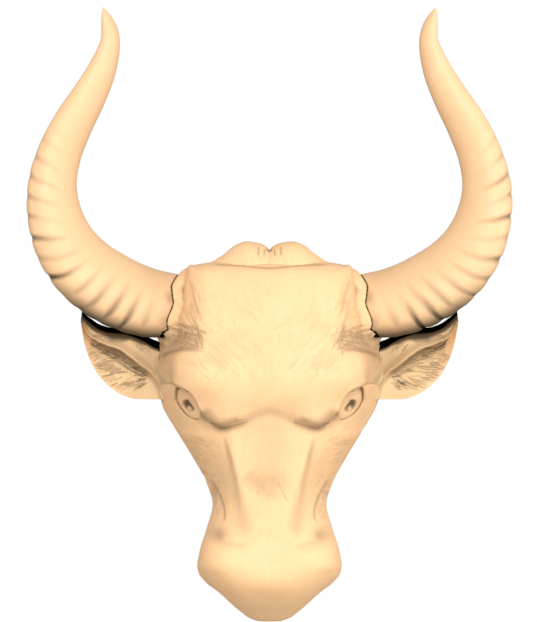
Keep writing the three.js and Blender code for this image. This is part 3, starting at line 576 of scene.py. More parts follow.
# %% The tree that grows a horn
def horn_tree():
    """Rolls a grid round a centre line, cuts the growth rings and writes the wax."""
    tree = bpy.data.node_groups.new("grow_a_horn", "GeometryNodeTree")
    sockets = tree.interface
    sockets.new_socket("Centre line", in_out="INPUT", socket_type="NodeSocketGeometry")
    for name, value in HORN_INPUTS.items():
        sockets.new_socket(name, in_out="INPUT", socket_type="NodeSocketFloat").default_value = value
    sockets.new_socket("Horn", in_out="OUTPUT", socket_type="NodeSocketGeometry")
    given = add_node(tree, "NodeGroupInput", give=None)
    grid = {"Size X": 1, "Size Y": 1, "Vertices X": HORN_RINGS, "Vertices Y": HORN_SIDES + 1}
    sheet = add_node(tree, "GeometryNodeMeshGrid", grid)
    spot = add_node(tree, "GeometryNodeInputPosition")
    flat = add_node(tree, "ShaderNodeSeparateXYZ", {0: spot}, give=None)
    even_share = add_node(tree, "ShaderNodeMath", {0: flat[0], 1: 0.5}, operation="ADD")
    share = add_node(tree, "ShaderNodeMath", {0: even_share, 1: given["Crowding"]}, operation="POWER")
    turn = add_node(tree, "ShaderNodeMath", {0: flat[1], 1: 2 * math.pi}, operation="MULTIPLY")

    curve = add_node(tree, "GeometryNodeMeshToCurve", {0: given["Centre line"]})
    thickness = add_node(tree, "GeometryNodeInputNamedAttribute", {"Name": "thickness"}, data_type="FLOAT")
    sampled = {"Curves": curve, "Value": thickness, "Factor": share}
    at = add_node(tree, "GeometryNodeSampleCurve", sampled, give=None, mode="FACTOR", data_type="FLOAT")
    depth_axis = add_node(tree, "ShaderNodeCombineXYZ", {"Y": given["Side"]})
    aslant = {0: depth_axis, 1: at["Tangent"]}
    outwards = add_node(tree, "ShaderNodeVectorMath", aslant, operation="CROSS_PRODUCT")
    wide = add_node(tree, "ShaderNodeVectorMath", {0: outwards}, operation="NORMALIZE")
    square = {0: at["Tangent"], 1: wide}
    high = add_node(tree, "ShaderNodeVectorMath", square, operation="CROSS_PRODUCT")

    section = oval_section(tree, given, turn)
    bend = {"Value": section[0], "From Min": -0.7, "From Max": 0.9}
    outer = add_node(tree, "ShaderNodeMapRange", bend)
    rings = growth_rings(tree, given, share, outer)
    carved = add_node(tree, "ShaderNodeMath", {0: rings, 1: given["Groove depth"]}, operation="MULTIPLY")
    thick = {0: at["Value"], 1: FULL_GROOVE}
    ease = add_node(tree, "ShaderNodeMath", thick, operation="DIVIDE", use_clamp=True)
    slim = add_node(tree, "ShaderNodeMath", {0: carved, 1: ease}, operation="MULTIPLY")
    radius = add_node(tree, "ShaderNodeMath", {0: at["Value"], 1: slim}, operation="SUBTRACT")
    out = add_node(tree, "ShaderNodeVectorMath", {0: wide, "Scale": section[0]}, operation="SCALE")
    up = add_node(tree, "ShaderNodeVectorMath", {0: high, "Scale": section[1]}, operation="SCALE")
    rim = add_node(tree, "ShaderNodeVectorMath", {0: out, 1: up}, operation="ADD")
    arm = add_node(tree, "ShaderNodeVectorMath", {0: rim, "Scale": radius}, operation="SCALE")
    point = add_node(tree, "ShaderNodeVectorMath", {0: at["Position"], 1: arm}, operation="ADD")

    wax_and_shade = horn_painted_shade(tree, given, share, section[0], rings)
    stored = {"Geometry": sheet, "Name": "wax_and_shade", "Value": wax_and_shade}
    waxed = add_node(tree, "GeometryNodeStoreNamedAttribute", stored, data_type="FLOAT", domain="POINT")
    rolled = add_node(tree, "GeometryNodeSetPosition", {"Geometry": waxed, "Position": point})
    closed = add_node(tree, "GeometryNodeMergeByDistance", {"Geometry": rolled, "Distance": 1e-5})
    smooth = add_node(tree, "GeometryNodeSetShadeSmooth", {"Geometry": closed})
    real = add_node(tree, "GeometryNodeRealizeInstances", {"Geometry": smooth})
    wooden = add_node(tree, "GeometryNodeSetMaterial", {"Geometry": real, "Material": polished_wood})
    add_node(tree, "NodeGroupOutput", {"Horn": wooden}, give=None)
    return tree


grow = horn_tree()
print("nodes in the tree:", len(grow.nodes))

# %% Grow both horns
identifier = {item.name: item.identifier for item in grow.interface.items_tree}
horns = []
for name, side, seed in (("horn_right", 1, 2.0), ("horn_left", -1, 5.0)):
    line, radius = horn_line(side)
    mesh = bpy.data.meshes.new(name + "_line")
    mesh.from_pydata((line * MM).tolist(), [(i, i + 1) for i in range(len(line) - 1)], [])
    mesh.attributes.new("thickness", "FLOAT", "POINT").data.foreach_set("value", radius * MM)
    host = bpy.data.objects.new(name + "_host", mesh)
    bpy.context.scene.collection.objects.link(host)
    modifier = host.modifiers.new("growth", "NODES")
    modifier.node_group = grow
    modifier[identifier["Side"]] = float(side)
    modifier[identifier["Turn"]] = -side * OVAL_TURN
    modifier[identifier["Seed"]] = seed
    graph = bpy.context.evaluated_depsgraph_get()
    grown = bpy.data.meshes.new_from_object(host.evaluated_get(graph), depsgraph=graph)
    host.modifiers.remove(modifier)
    bpy.data.objects.remove(host)
    grown.name = name
    points = np.empty(len(grown.vertices) * 3)
    grown.vertices.foreach_get("co", points)
    points = points.reshape(-1, 3)
    corners = np.array([p.vertices[:3] for p in grown.polygons])
    a, b, c = points[corners[:, 0]], points[corners[:, 1]], points[corners[:, 2]]
    if np.sum(a * np.cross(b, c)) < 0:
        grown.flip_normals()
    horn = bpy.data.objects.new(name, grown)
    bpy.context.scene.collection.objects.link(horn)
    horns.append(horn)
    print(f"{name}: {len(grown.polygons)} faces, {np.ptp(points, axis=0).round(3)} m")

# %% [markdown]
# ## Collars and eyelids
# A flap of skin climbs a little way up each horn and ends in a dark, wavy seam. The helper below tells how
# far a point lies from the horn. Near the horn the skin is lifted to make the flap, and right at the horn
# it turns in again. The lids work by sinking: an almond is sunk into the skin, and its rim is the edge of
# the lids. The ball of the eye comes later.

# %% The flap of skin round the root of a horn
FLAP_LIFT = [
    (184, 2), (176, 4), (168, 7), (160, 11), (152, 14), (139, 12), (129, 9.5), (118, 11), (107, 13),
    (98, 11), (90, 15), (82, 18),
]  # height, and how far the flap stands out there: its edge is wavy
FLAP_FROM = 4  # up to this distance from the horn the flap is level
FLAP_TO = [
    (184, 29), (170, 25), (158, 20), (149, 13), (140, 17), (128, 19), (112, 16), (100, 15),
]  # height, and where the flap has run out
FLAP_VALLEY_SHADE, FLAP_VALLEY, FLAP_VALLEY_HALF = 0.08, 4, 11  # painted shade in the valley just beyond the flap
FLAP_BACK, FLAP_FULL = -68, -98  # behind the first depth there is no flap, before the second all of it
LIP_IN, LIP_OUT, LIP_DROP = 0.5, 4.5, 3.0  # near the horn the edge of the flap turns in
ROOT_ROWS = 3  # rows of the horn's table that can lie near the skin
BESIDE = 80  # only points farther than this from the mid line are held against a horn


def horn_gap(points, side):
    """How far points lie from the surface of a horn, near its root."""
    line, radius = horn_line(side)
    way = np.gradient(line, axis=0)
    best = np.full(len(points), np.inf)
    gap = np.full(len(points), np.inf)
    turn = -side * OVAL_TURN
    for k in range(2, ROOT_ROWS * LINE_STEPS):
        run = way[k] / np.linalg.norm(way[k])
        wide = np.cross([0, side, 0], run)
        wide /= np.linalg.norm(wide)
        high = np.cross(run, wide)
        off = points - line[k]
        a, b = off @ wide, off @ high
        long = a * math.cos(turn) + b * math.sin(turn)
        short = b * math.cos(turn) - a * math.sin(turn)
        far = np.sum(off * off, axis=1)
        closer = far < best
        best[closer] = far[closer]
        gap[closer] = (np.hypot(long, short / OVAL) - radius[k])[closer]
    return gap


def beside_horns(rings):
    """Distance of every point of a skin from the nearer horn's surface."""
    gap = np.full(rings.shape[:2], np.inf)
    for side in (1, -1):
        near = np.nonzero(side * rings[..., 0] > BESIDE)
        gap[near] = horn_gap(rings[near], side)
    return gap


gap = beside_horns(head)
flap_end = along(FLAP_TO, head[..., 2])
before = ramp(-head[..., 1], -FLAP_BACK, -FLAP_FULL)
flap = before * along(FLAP_LIFT, head[..., 2]) * (1 - ramp(gap, FLAP_FROM, flap_end))
# Painted shade in the valley beyond the flap
flap_shade = FLAP_VALLEY_SHADE * np.exp(-(((gap - flap_end - FLAP_VALLEY) / FLAP_VALLEY_HALF) ** 2))
head = head + facing(head) * flap[..., None]
print("flap raised round the horns, up to", flap.max().round(1), "mm")

# %% Openings between the eyelids
EYE_X, EYE_Z = 106.7, 1.7
EYE_LEAN = np.array([0.56, 0.828])  # the long axis of the eye, seen from the front
LID_LONG, LID_ACROSS, LID_DEPTH = 26, 12, 6  # half length and half width of the opening, and its depth
LID_RIM = (-0.6, 1.9)  # mm inside the almond between which its rim slopes
# Painted shade along the edge of the lids
LID_SHADE = 0.6


def eye_opening(points):
    """1 inside the almond between the lids, 0 outside, at points of the face."""
    x, z = np.abs(points[..., 0]) - EYE_X, points[..., 2] - EYE_Z
    long = x * EYE_LEAN[0] + z * EYE_LEAN[1]
    across = x * EYE_LEAN[1] - z * EYE_LEAN[0]
    inside = LID_ACROSS * (1 - np.abs(long / LID_LONG) ** 2.5) - np.abs(across)
    return ramp(inside, *LID_RIM) * (points[..., 1] < MODELLING_LIMIT)


opening = eye_opening(head)
outer_half = np.abs(head[..., 0]) - EYE_X > EYE_LEAN[0] / EYE_LEAN[1] * (head[..., 2] - EYE_Z)
lower_rim = (opening > 0.1) & (opening < 0.9) & outer_half
lid_rims = {side: head[lower_rim & (side * head[..., 0] > 0)] for side in (1, -1)}
head = head - facing(head) * (LID_DEPTH * opening)[..., None]
print("eye openings cut,", int(np.sum(opening > 0.5)), "points of the skin")

# %% [markdown]
# ## Wrinkles, folds and hair
# Now the fine cutting. Creases are drawn once and mirrored. Hair lies in patches: swept back on
# the temples, down the edges of the forehead, faint on the brow, in a whorl on the nose and in short nicks
# on the cheeks. Last, the horns are blackened where they stand in the skin, which draws the seam.

# %% Creases of the face, in mm from the mid line and up from the eyes: line, half width, depth, painted shade
CREASES = {
    "over the upper lid": (
        [(146, 27), (134, 28.5), (124, 26.5), (114, 21.5), (105, 16.5), (98, 9)], 1.6, 1.8, (0.2, 0.44),
    ),
    "edge of the brow": (
        [(91, -5), (87, -12), (81, -19), (73, -26), (64, -30.5), (57, -30.5), (51, -28.5), (40, -25),
         (20, -18)],
        1.9, 2.6, 0.46,
    ),
    "under the brow": ([(78, -22), (68, -29), (58, -30), (46, -27), (26, -19)], 5.0, 1.8, 0.42),
    "arch between the brows": ([(56, -29), (38, -23), (20, -14), (0, -9), (-20, -14)], 9.0, 1.8, 0.27),
    "shade along the brow": (
        [(91, -2), (84, -10), (75, -19), (64, -25), (50, -23), (30, -17)], 9.0, 0.5, 0.36,
    ),
    "temple": ([(166, 52), (138, 68), (118, 75), (101, 75.5), (86, 70)], (8.5, 4.5), 3.6, (0.56, 0.28)),
    "side of the nose": (
        [(61, -32), (50, -77), (45, -98), (41, -121), (37, -140), (32, -176)],
        (1.5, 12.0), (1.0, 1.8), (0.3, 0.19),
    ),
    "cheek": (
        [(79, -94), (72, -106), (65, -118), (60, -131), (59, -144), (63, -154)], (3.0, 1.6), 1.3, 0.26,
    ),
    "lowest part of the brow": ([(71, -27), (63, -31), (54, -29.5), (44, -26)], 3.0, 2.0, 0.5),
    "upper edge of the forehead": (
        [(106, 166), (100, 147), (96, 131), (90, 112)], (2.4, 1.0), 0.8, (0.12, 0.36),
    ),
    "lower edge of the forehead": (
        [(106, 128), (99, 110.5), (95, 102.5), (91, 82)], (2.0, 1.1), 1.0, (0.14, 0.46),
    ),
    "fold over the muzzle": ([(72, -169), (60, -175), (46, -179), (30, -180)], (7, 3), 0.6, (0.16, 0.06)),
    "foot of the tuft": (
        [(84, 184), (62, 183), (40, 182), (15, 179.5), (0, 178.5), (-15, 179.5)], 1.4, 1.6, 0.35,
    ),
}
WHORL_SIDE = -1  # the whorl on the nose lies a little to the viewer's left
WHORL = {
    "hollow": ([(34, -84), (20, -98), (4, -108), (-12, -118)], 14.0, 1.2, 0.2),
    "long lock": ([(-9, -95), (-15, -107), (-24, -126)], 1.0, 0.6, 0.3),
    "short lock": ([(-2, -88), (-4, -104), (-10, -122)], 1.4, 0.6, 0.22),
}
# The mouth lies on the side of the head, so its line is in depth and height
MOUTH = {"mouth": ([(-104, -160), (-110, -168), (-114, -200), (-118, -240), (-120, -276)], 2.6, 3.5, 0.5)}
print("creases:", ", ".join(CREASES))

# %% Patches of hair: count, middle, half size, angle, swing, length, half width, depth, painted shade and curl
HAIR = {
    "temple": (46, (130, 95), (20, 12), 186, 10, 30, 1.0, 0.9, 0.38, 13),
    "corner of the forehead": (26, (102, 100), (9, 14), 232, 14, 24, 0.8, 0.8, 0.42, 12),
    "under the temple": (40, (134, 81), (19, 10), 168, 9, 30, 1.0, 0.8, 0.38, 13),
    "edge of the forehead": (34, (100, 138), (9, 26), 252, 12, 20, 1.1, 0.5, 0.16),
    "foot of the flap": (22, (113, 120), (9, 22), 240, 12, 16, 1.2, 0.5, 0.14),
    "inner end of the brow": (16, (49, -24), (12, 4), 156, 8, 15, 1.5, 0.8, 0.36),
    "brow": (30, (76, 62), (18, 20), 226, 10, 18, 1.2, 0.4, 0.14),
    "forehead": (60, (62, 84), (40, 40), 228, 14, 20, 1.3, 0.4, 0.11),
    "nicks on the cheek": (60, (72, -116), (11, 26), 290, 40, 5, 1.2, 0.6, 0.16),
    "groove of the cheek": (16, (71, -109), (6, 12), 302, 16, 11, 1.1, 0.7, 0.3),
    "under the eye": (60, (94, -58), (20, 30), 202, 20, 11, 1.1, 0.35, 0.11),
    "top of the forehead": (50, (50, 120), (48, 50), 250, 20, 18, 1.6, 0.3, 0.05),
    "outer brow": (20, (108, 58), (26, 10), 200, 20, 14, 1.2, 0.4, 0.1),
}
WHORL_HAIR = (50, (10, -98), (17, 10), 268, 30, 13, 0.8, 0.4, 0.27)
SIDE_CUTS = (70, (-55, 30), (55, 140), -40, 14, 46, 4.5, 1.2, 0.12)  # broad cuts, at depth and height
HOLLOW_SHADE = 0.4  # painted shade in any hollow
print("patches of hair:", len(HAIR))


# %% Cut the creases and the hair
def face_strokes(side):
    """Creases and hair of one side of the face."""
    strokes = drawn(CREASES) + combed(HAIR)
    if side == WHORL_SIDE:
        strokes += drawn(WHORL) + hair(*WHORL_HAIR)
    return strokes


def side_strokes():
    """The mouth and broad gouge cuts on the side of the head, at places of depth and height."""
    return drawn(MOUTH) + hair(*SIDE_CUTS)


normal = facing(head)
depth = np.zeros(head.shape[:2])
# Painted shade from the dabs, the valley beyond the flap and the edges of the lids
wax_and_shade = np.maximum(broad_shade + flap_shade, LID_SHADE * 4 * opening * (1 - opening))
for side in (1, -1):
    x, y, z = side * head[..., 0], head[..., 1], head[..., 2]
    front = ramp(-normal[..., 1], 0.05, 0.3)
    beside = ramp(side * normal[..., 0], 0.55, 0.85) * ramp(side * head[..., 0], 20, 60)
    for shown, across, strokes in ((front, x, face_strokes(side)), (beside, y, side_strokes())):
        deep, dark = cut(across, z, strokes)
        depth = np.maximum(depth, deep * shown)
        wax_and_shade = np.maximum(wax_and_shade, dark * shown)
lip = 1 - ramp(beside_horns(head), LIP_IN, LIP_OUT)
depth = np.maximum(depth, LIP_DROP * lip)
head = head - normal * depth[..., None]
wax_and_shade = np.maximum(wax_and_shade, HOLLOW_SHADE * hollowness(head, times=6, depth=1.2))
head[..., 1] = np.minimum(head[..., 1], 0)
face = skin("head_skin", head, wax_and_shade, carved_wood)

# %% Painted shadow and old wax on the horns where they stand in the flaps
SEAM = [
    (182, 4.2), (172, 3.2), (160, 2.0), (130, 1.8), (104, 1.9), (90, 2.6),
]  # height, and width of the black seam, painted shadow and old wax
SEAM_SOFT, SHADE_NEAR_SKIN_END = 2.0, 17.0  # mm from the skin: the seam runs out, and so does the painted shade near the skin
SHADE_NEAR_SKIN = [
    (168, 0), (152, 0.1), (139, 0.34), (126, 0.12), (110, 0.24), (95, 0.42),
]  # height, and the painted shade on the horn near the skin
ROOT_REACH = 0.16  # metres from the mid line up to which a horn may lie near the skin
corners = [tuple(p.vertices) for p in face.data.polygons]
skin_tree = BVHTree.FromPolygons([v.co for v in face.data.vertices], corners)
for horn in horns:
    levels = horn.data.attributes["wax_and_shade"].data
    in_seam = 0
    for vertex in horn.data.vertices:
        if abs(vertex.co.x) < ROOT_REACH:
            away = skin_tree.find_nearest(vertex.co)[3] / MM
            wide = along(SEAM, vertex.co.z / MM)
            # Painted shade on the horn near the skin, darker low down, and the black seam of painted shadow
            # and old wax
            near_skin_shade = along(SHADE_NEAR_SKIN, vertex.co.z / MM) * (1 - ramp(away, wide, SHADE_NEAR_SKIN_END))
            seam = 1 - ramp(away, wide, wide + SEAM_SOFT)
            levels[vertex.index].value = max(levels[vertex.index].value, seam, near_skin_shade)
            in_seam += away < wide
    print(f"{horn.name}: {in_seam} points in the seam")

# %% [markdown]
# ## Eyes
# Each eye is a ball set behind the lids. Sculptors drill the pupil and leave a small peg in it that
# catches the light. The ball is a skin over rings round its own axis, so the rings crowd where the pupil is.

# %% Eyeballs with a drilled pupil, in mm
BALL_LONG, BALL_ACROSS, BALL_DEEP, BALL_PROUD = 50, 25, 14, 0.6
EYE_TURN = 0.8  # the eyes look a little more to the front than the face does at this place
PUPIL_DOWN, PUPIL_OUT = 3.1, 2.0  # the pupil lies below and outside the middle of the ball
PUPIL_LONG, PUPIL_ACROSS, PUPIL_DEPTH = 10.6, 11.4, 4.2
# Painted shade in the drilled pupil
PUPIL_SHADE = 0.62
PEG_DOWN, PEG_OUT, PEG_SIZE = 4.4, 3.4, 5.4  # a peg left in the pupil, towards its lower and outer side
PEG_TALL = 0.85  # height of the peg, as a share of the depth of the pupil
EYE_RINGS, EYE_SIDES, EYE_CROWD = 130, 120, 1.3  # above 1 the rings crowd at the pupil


def eye_axes(side):
    """The front of an eyeball, the way it looks, its long axis and the axis across."""
    d = 1.0
    slope_x = EYE_TURN * float(face_depth(EYE_X + d, EYE_Z) - face_depth(EYE_X - d, EYE_Z)) / (2 * d)
    slope_z = float(face_depth(EYE_X, EYE_Z + d) - face_depth(EYE_X, EYE_Z - d)) / (2 * d)
    out = np.array([side * slope_x, -1, slope_z])
    out /= np.linalg.norm(out)
    long = np.array([side * EYE_LEAN[0], 0, EYE_LEAN[1]])
    long -= out * (long @ out)
    long /= np.linalg.norm(long)
    reach = np.median(lid_rims[side] @ out) + BALL_PROUD
    front = np.array([side * EYE_X, 0, EYE_Z])
    front[1] = (reach - front @ out) / out[1]
    return front, out, long, np.cross(out, long)


def eyeball(name, side):
    """A flattened ball with a pupil drilled into it and a peg in the pupil."""
    front, out, long, across = eye_axes(side)
    polar = (np.linspace(0.004, 1, EYE_RINGS) ** EYE_CROWD * (math.pi - 0.02))[:, None]
    turn = np.linspace(0, 2 * math.pi, EYE_SIDES, endpoint=False)[None, :]
    lengthwise = BALL_LONG * np.sin(polar) * np.cos(turn)
    sideways = BALL_ACROSS * np.sin(polar) * np.sin(turn)
    forward = BALL_DEEP * np.cos(polar) * np.ones_like(turn)
    down, outward = -lengthwise - PUPIL_DOWN, -side * sideways - PUPIL_OUT
    pit = 1 - ramp(np.hypot(down / PUPIL_LONG, outward / PUPIL_ACROSS), 0.6, 1.05)
    peg = 1 - ramp(np.hypot(down - PEG_DOWN, outward - PEG_OUT) / PEG_SIZE, 0.3, 1.25)
    hole = (forward > 0) * pit * (1 - PEG_TALL * peg)
    forward = forward - PUPIL_DEPTH * hole
    centre = front - out * BALL_DEEP
    rings = centre + lengthwise[..., None] * long + sideways[..., None] * across + forward[..., None] * out
    return skin(name, rings, PUPIL_SHADE * hole, polished_wood)


eyes = [eyeball("eye_right", 1), eyeball("eye_left", -1)]

# %% [markdown]
# ## Ears
# An ear is a cupped leaf. Its upper edge rolls back under the horn, lies in deep shade and is painted black
# for it, with the horn's shadow painted below it; a soft ridge of skin runs from the root to the tip, and
# below it the ear drops into a hollow full of hair that fans out to the lower edge, and the hollow is
# painted darker as shade.
# The leaf is a skin over rings that go down the front and up the back, one ring for each step from root to
# tip.

# %% The leaf of an ear, in mm
EAR_UPPER = [
    (0, 122, 66), (0.2, 150, 74.5), (0.3, 163, 82), (0.4, 176, 88), (0.52, 192, 92.5), (0.64, 207, 93.5),
    (0.77, 222, 98), (0.88, 233, 106), (1, 245, 117),
]  # share of the way from root to tip, across and up, seen from the front
EAR_LOWER = [
    (0, 122, 7), (0.25, 172, 7.5), (0.37, 192, 13), (0.5, 211, 26), (0.62, 225, 42), (0.75, 236, 64),
    (0.88, 242.5, 87), (1, 246, 109),
]
EAR_ROOT, EAR_TIP = -105, -100  # depth of the edges at root and tip
EAR_CUP, EAR_FOLD, EAR_WALL, EAR_ROLL = 26, 9, 9, 18  # depth of the cup, ridge, wall and rolled edge
EAR_BLEND, RIDGE_BLEND = 9, 8  # how softly the ear runs into the head, low down and at the ridge
EAR_TUCK = 5  # how far the ear lies behind the skin of the head where the head is in front
HEAD_EDGE = 4  # steepness with which the head is taken to fall away beyond its outline
EAR_RISE = [(0, 11), (0.25, 9.5), (0.4, 7.5), (0.8, 7), (1, 4.5)]  # height of the rolled edge over the front
RIDGE = [
    (0, 0.8), (0.1, 0.7), (0.15, 0.58), (0.2, 0.46), (0.3, 0.385), (0.4, 0.325), (0.52, 0.285), (0.64, 0.3),
    (0.77, 0.4), (0.88, 0.55), (1, 0.6),
]  # the ridge of skin: share from root to tip, and share across the ear
RIDGE_HALF = 0.1
EAR_STEPS, EAR_FRONT, EAR_BACK = 210, 190, 60
BACK_END = 0.98  # share of the way to the lower edge at which the back ends


def edge_line(table, s):
    """Points along an edge of the ear at shares s, as across and up."""
    table = np.array(table)
    return np.stack([along(table[:, [0, 1]], s), along(table[:, [0, 2]], s)], axis=1)


print("ears reach", EAR_LOWER[-1][1], "mm from the mid line")

# %% Painted shade and hair of an ear
POCKET_SHADE, POCKET_HALF = 0.55, 0.32  # painted shade in the hollow under the ridge
EAR_ROOT_SHADE = 0.28  # painted shade at the root of the ear, where it runs into the head
EAR_HOLLOW_SHADE = 0.35  # painted shade in any hollow of the ear
HORN_SHADOW_ON_FOLD = 0.8  # painted shadow of the horn under the rolled edge, which lies close below the horn
FOLD_SHADOW_REACH = [
    (0, 5), (0.26, 5), (0.34, 8.5), (0.42, 7), (0.5, 13), (0.59, 13.5), (0.66, 9.5), (0.76, 7), (0.86, 8),
    (1, 6),
]  # share from root to tip, and how far down from the edge that painted shadow reaches
EAR_RIM = 0.05  # share across the ear over which the hair stops short of the edges
EAR_HAIR = {
    "along the rolled edge": (60, (208, 91), (24, 3), 182, 6, 22, 0.9, 0.6, 0.4),
    "root": (34, (172, 82), (11, 6), 214, 8, 17, 0.9, 0.7, 0.38, 6),
    "lobe": (54, (217, 45), (18, 15), 172, 9, 16, 0.7, 0.7, 0.42),
    "foot of the lobe": (36, (190, 25), (21, 9), 156, 9, 15, 0.7, 0.7, 0.42),
    "mouth of the ear": (26, (173, 26), (7, 7), 154, 10, 10, 0.8, 0.9, 0.6),
    "outer edge": (30, (229, 66), (9, 14), 156, 8, 13, 0.6, 0.6, 0.35),
}
RIDGE_HAIRS = 110  # strokes below the ridge that follow it


def ear_hair():
    """The patches of hair, and the strokes that follow the ridge."""
    strokes = combed(EAR_HAIR)
    for _ in range(RIDGE_HAIRS):
        s = dice.uniform(0.2, 0.72) + np.linspace(0, dice.uniform(0.04, 0.1), 8)
        t = along(RIDGE, s) + dice.uniform(0.03, 0.2) + np.linspace(0, dice.uniform(0.0, 0.08), 8)
        upper, lower = edge_line(EAR_UPPER, s), edge_line(EAR_LOWER, s)
        line = upper + (lower - upper) * t[:, None]
        strokes.append((line, dice.uniform(0.6, 1.1), dice.uniform(0.5, 1.0), dice.uniform(0.35, 0.65)))
    return strokes


print("patches of hair on an ear:", len(EAR_HAIR))


# %% Front and back of the leaf
def ear_front(s, upper, lower, edge, cup):
    """Places on the front, as across and up, with their depth and painted shade. It runs into the head at
    the root.
    """
    t = np.linspace(0, 1, EAR_FRONT)[None, :]
    ridge = along(RIDGE, s)
    below = np.clip((t - ridge) / (1 - ridge), 0, 1)
    above = np.clip(t / ridge, 0, 1)
    hollow = (1 - np.exp(-below / 0.1)) * (1 - below) ** 1.1 + 0.2 * np.sin(math.pi * above)
    fold = EAR_FOLD * np.exp(-(((t - ridge) / RIDGE_HALF) ** 2)) * ramp(t, 0, 0.1)
    places = upper + (lower - upper) * t[..., None]
    leaf_y = edge + cup * hollow - fold
    x, z = places[..., 0], places[..., 1]
    head_y = face_depth(x, z) + HEAD_EDGE * np.maximum(x - level(z)[0], 0)
    blend = RIDGE_BLEND + (EAR_BLEND - RIDGE_BLEND) * ramp(t - ridge, 0, 0.3)
    merged = -blend * np.log(np.exp(-head_y / blend) + np.exp(-leaf_y / blend))
    merged += EAR_TUCK * ramp(leaf_y - head_y, 2, 14)
    y = leaf_y + (merged - leaf_y) * ramp(t - ridge, -0.42, -0.16)
    between = ramp(s, 0.1, 0.25) * ramp(1 - s, 0.1, 0.4)
    pocket = POCKET_SHADE * ramp(below, 0, 0.08) * np.exp(-((below / POCKET_HALF) ** 2)) * between
    drop = t * np.linalg.norm(lower - upper, axis=2)
    under_edge = HORN_SHADOW_ON_FOLD * np.clip(1 - (drop / along(FOLD_SHADOW_REACH, s)) ** 2, 0, 1)
    at_root = EAR_ROOT_SHADE * (1 - ramp(s, 0.2, 0.5)) * (1 - 0.5 * ramp(t - ridge, -0.1, 0.2))
    return places, y, np.maximum.reduce([pocket, under_edge, at_root])


def ear_back(s, upper, lower, edge, cup):
    """Places on the back, as across and up, with their depth. The upper edge rolls backwards."""
    t = np.linspace(1, 0, EAR_BACK)[None, :]
    bow = np.sin(math.pi * t)
    roll = EAR_ROLL * (1 - t) ** 2 * (1 - 0.5 * s)
    y = edge + cup * bow + EAR_WALL * (0.6 + 0.9 * bow) + roll
    rise = np.stack([np.zeros_like(s), along(EAR_RISE, s)], axis=2)
    places = upper + rise + (lower - upper - rise) * BACK_END * t[..., None]
    return places, y


# %% Both ears
def ear(name, side):
    """Rings down the front and up the back, one for each step from root to tip."""
    s = np.linspace(0, 1, EAR_STEPS)
    upper, lower = edge_line(EAR_UPPER, s)[:, None], edge_line(EAR_LOWER, s)[:, None]
    s = s[:, None]
    edge = EAR_ROOT + (EAR_TIP - EAR_ROOT) * s
    cup = EAR_CUP * np.sin(math.pi * (0.12 + 0.8 * s)) * ramp(s, 0.06, 0.28)
    front, front_y, shade = ear_front(s, upper, lower, edge, cup)
    back, back_y = ear_back(s, upper, lower, edge, cup)
    places = np.concatenate([front, back], axis=1)
    across, up = places[..., 0], places[..., 1]
    y = np.concatenate([front_y, back_y], axis=1)
    rings = np.stack([side * across, y, up], axis=2)
    deep, dark = cut(across, up, ear_hair())
    inner = np.linspace(0, 1, EAR_FRONT)
    ahead = np.zeros(y.shape)
    ahead[:, :EAR_FRONT] = ramp(inner, 0, EAR_RIM) * ramp(1 - inner, 0, EAR_RIM)
    rings = rings - facing(rings) * (deep * ahead)[..., None]
    wax_and_shade = dark * ahead
    wax_and_shade[:, :EAR_FRONT] = np.maximum(wax_and_shade[:, :EAR_FRONT], shade)
    # The rolled edge is painted black for the deep shade under the horn
    wax_and_shade[:, [-1, 0]] = 1  # the rolled edge is black
    wax_and_shade = np.maximum(wax_and_shade, EAR_HOLLOW_SHADE * hollowness(rings, times=5, depth=1.0))
    return skin(name, rings, wax_and_shade, ear_wood)


ears = [ear("ear_right", 1), ear("ear_left", -1)]

# %% [markdown]
# ## Tuft on the poll
# Between the horns the hair stands up in two rounded locks that part at the mid line. The tuft is a skin
# over rings that stand side by side across the head. Its outline is a short table, the locks swell forward
# and a few upright gouge cuts part the hair.

# %% The tuft, in mm
TUFT_TOP = [(0, 204), (13, 210.5), (29, 213), (42, 209.5), (60, 196), (76, 186), (92, 180)]
TUFT_HALF, TUFT_Y, TUFT_Z, TUFT_DEEP = 92, -98, 158, 50
TUFT_STEPS, TUFT_SIDES = 260, 130
LOCK_AT, LOCK_HALF, LOCK_SWELL = 26, 16, 3  # the two locks swell forward at this place
TUFT_ROUND = 0.8  # below 1 the section is squarer than an oval
TUFT_CUTS = [(5.9, 204, 193), (14, 207, 194)]  # short upright cuts: place, top and foot
TUFT_CUT = (1.2, 1.0, 0.3)  # half width, depth and painted shade of such a cut
PARTING = (np.array([(0, 212), (0, 198)]), 2.6, 1.6, 0.3)  # line, half width, depth and painted shade
TUFT_HAIR = (40, (0, 198), (64, 14), 268, 8, 16, 1.0, 0.35, 0.05)


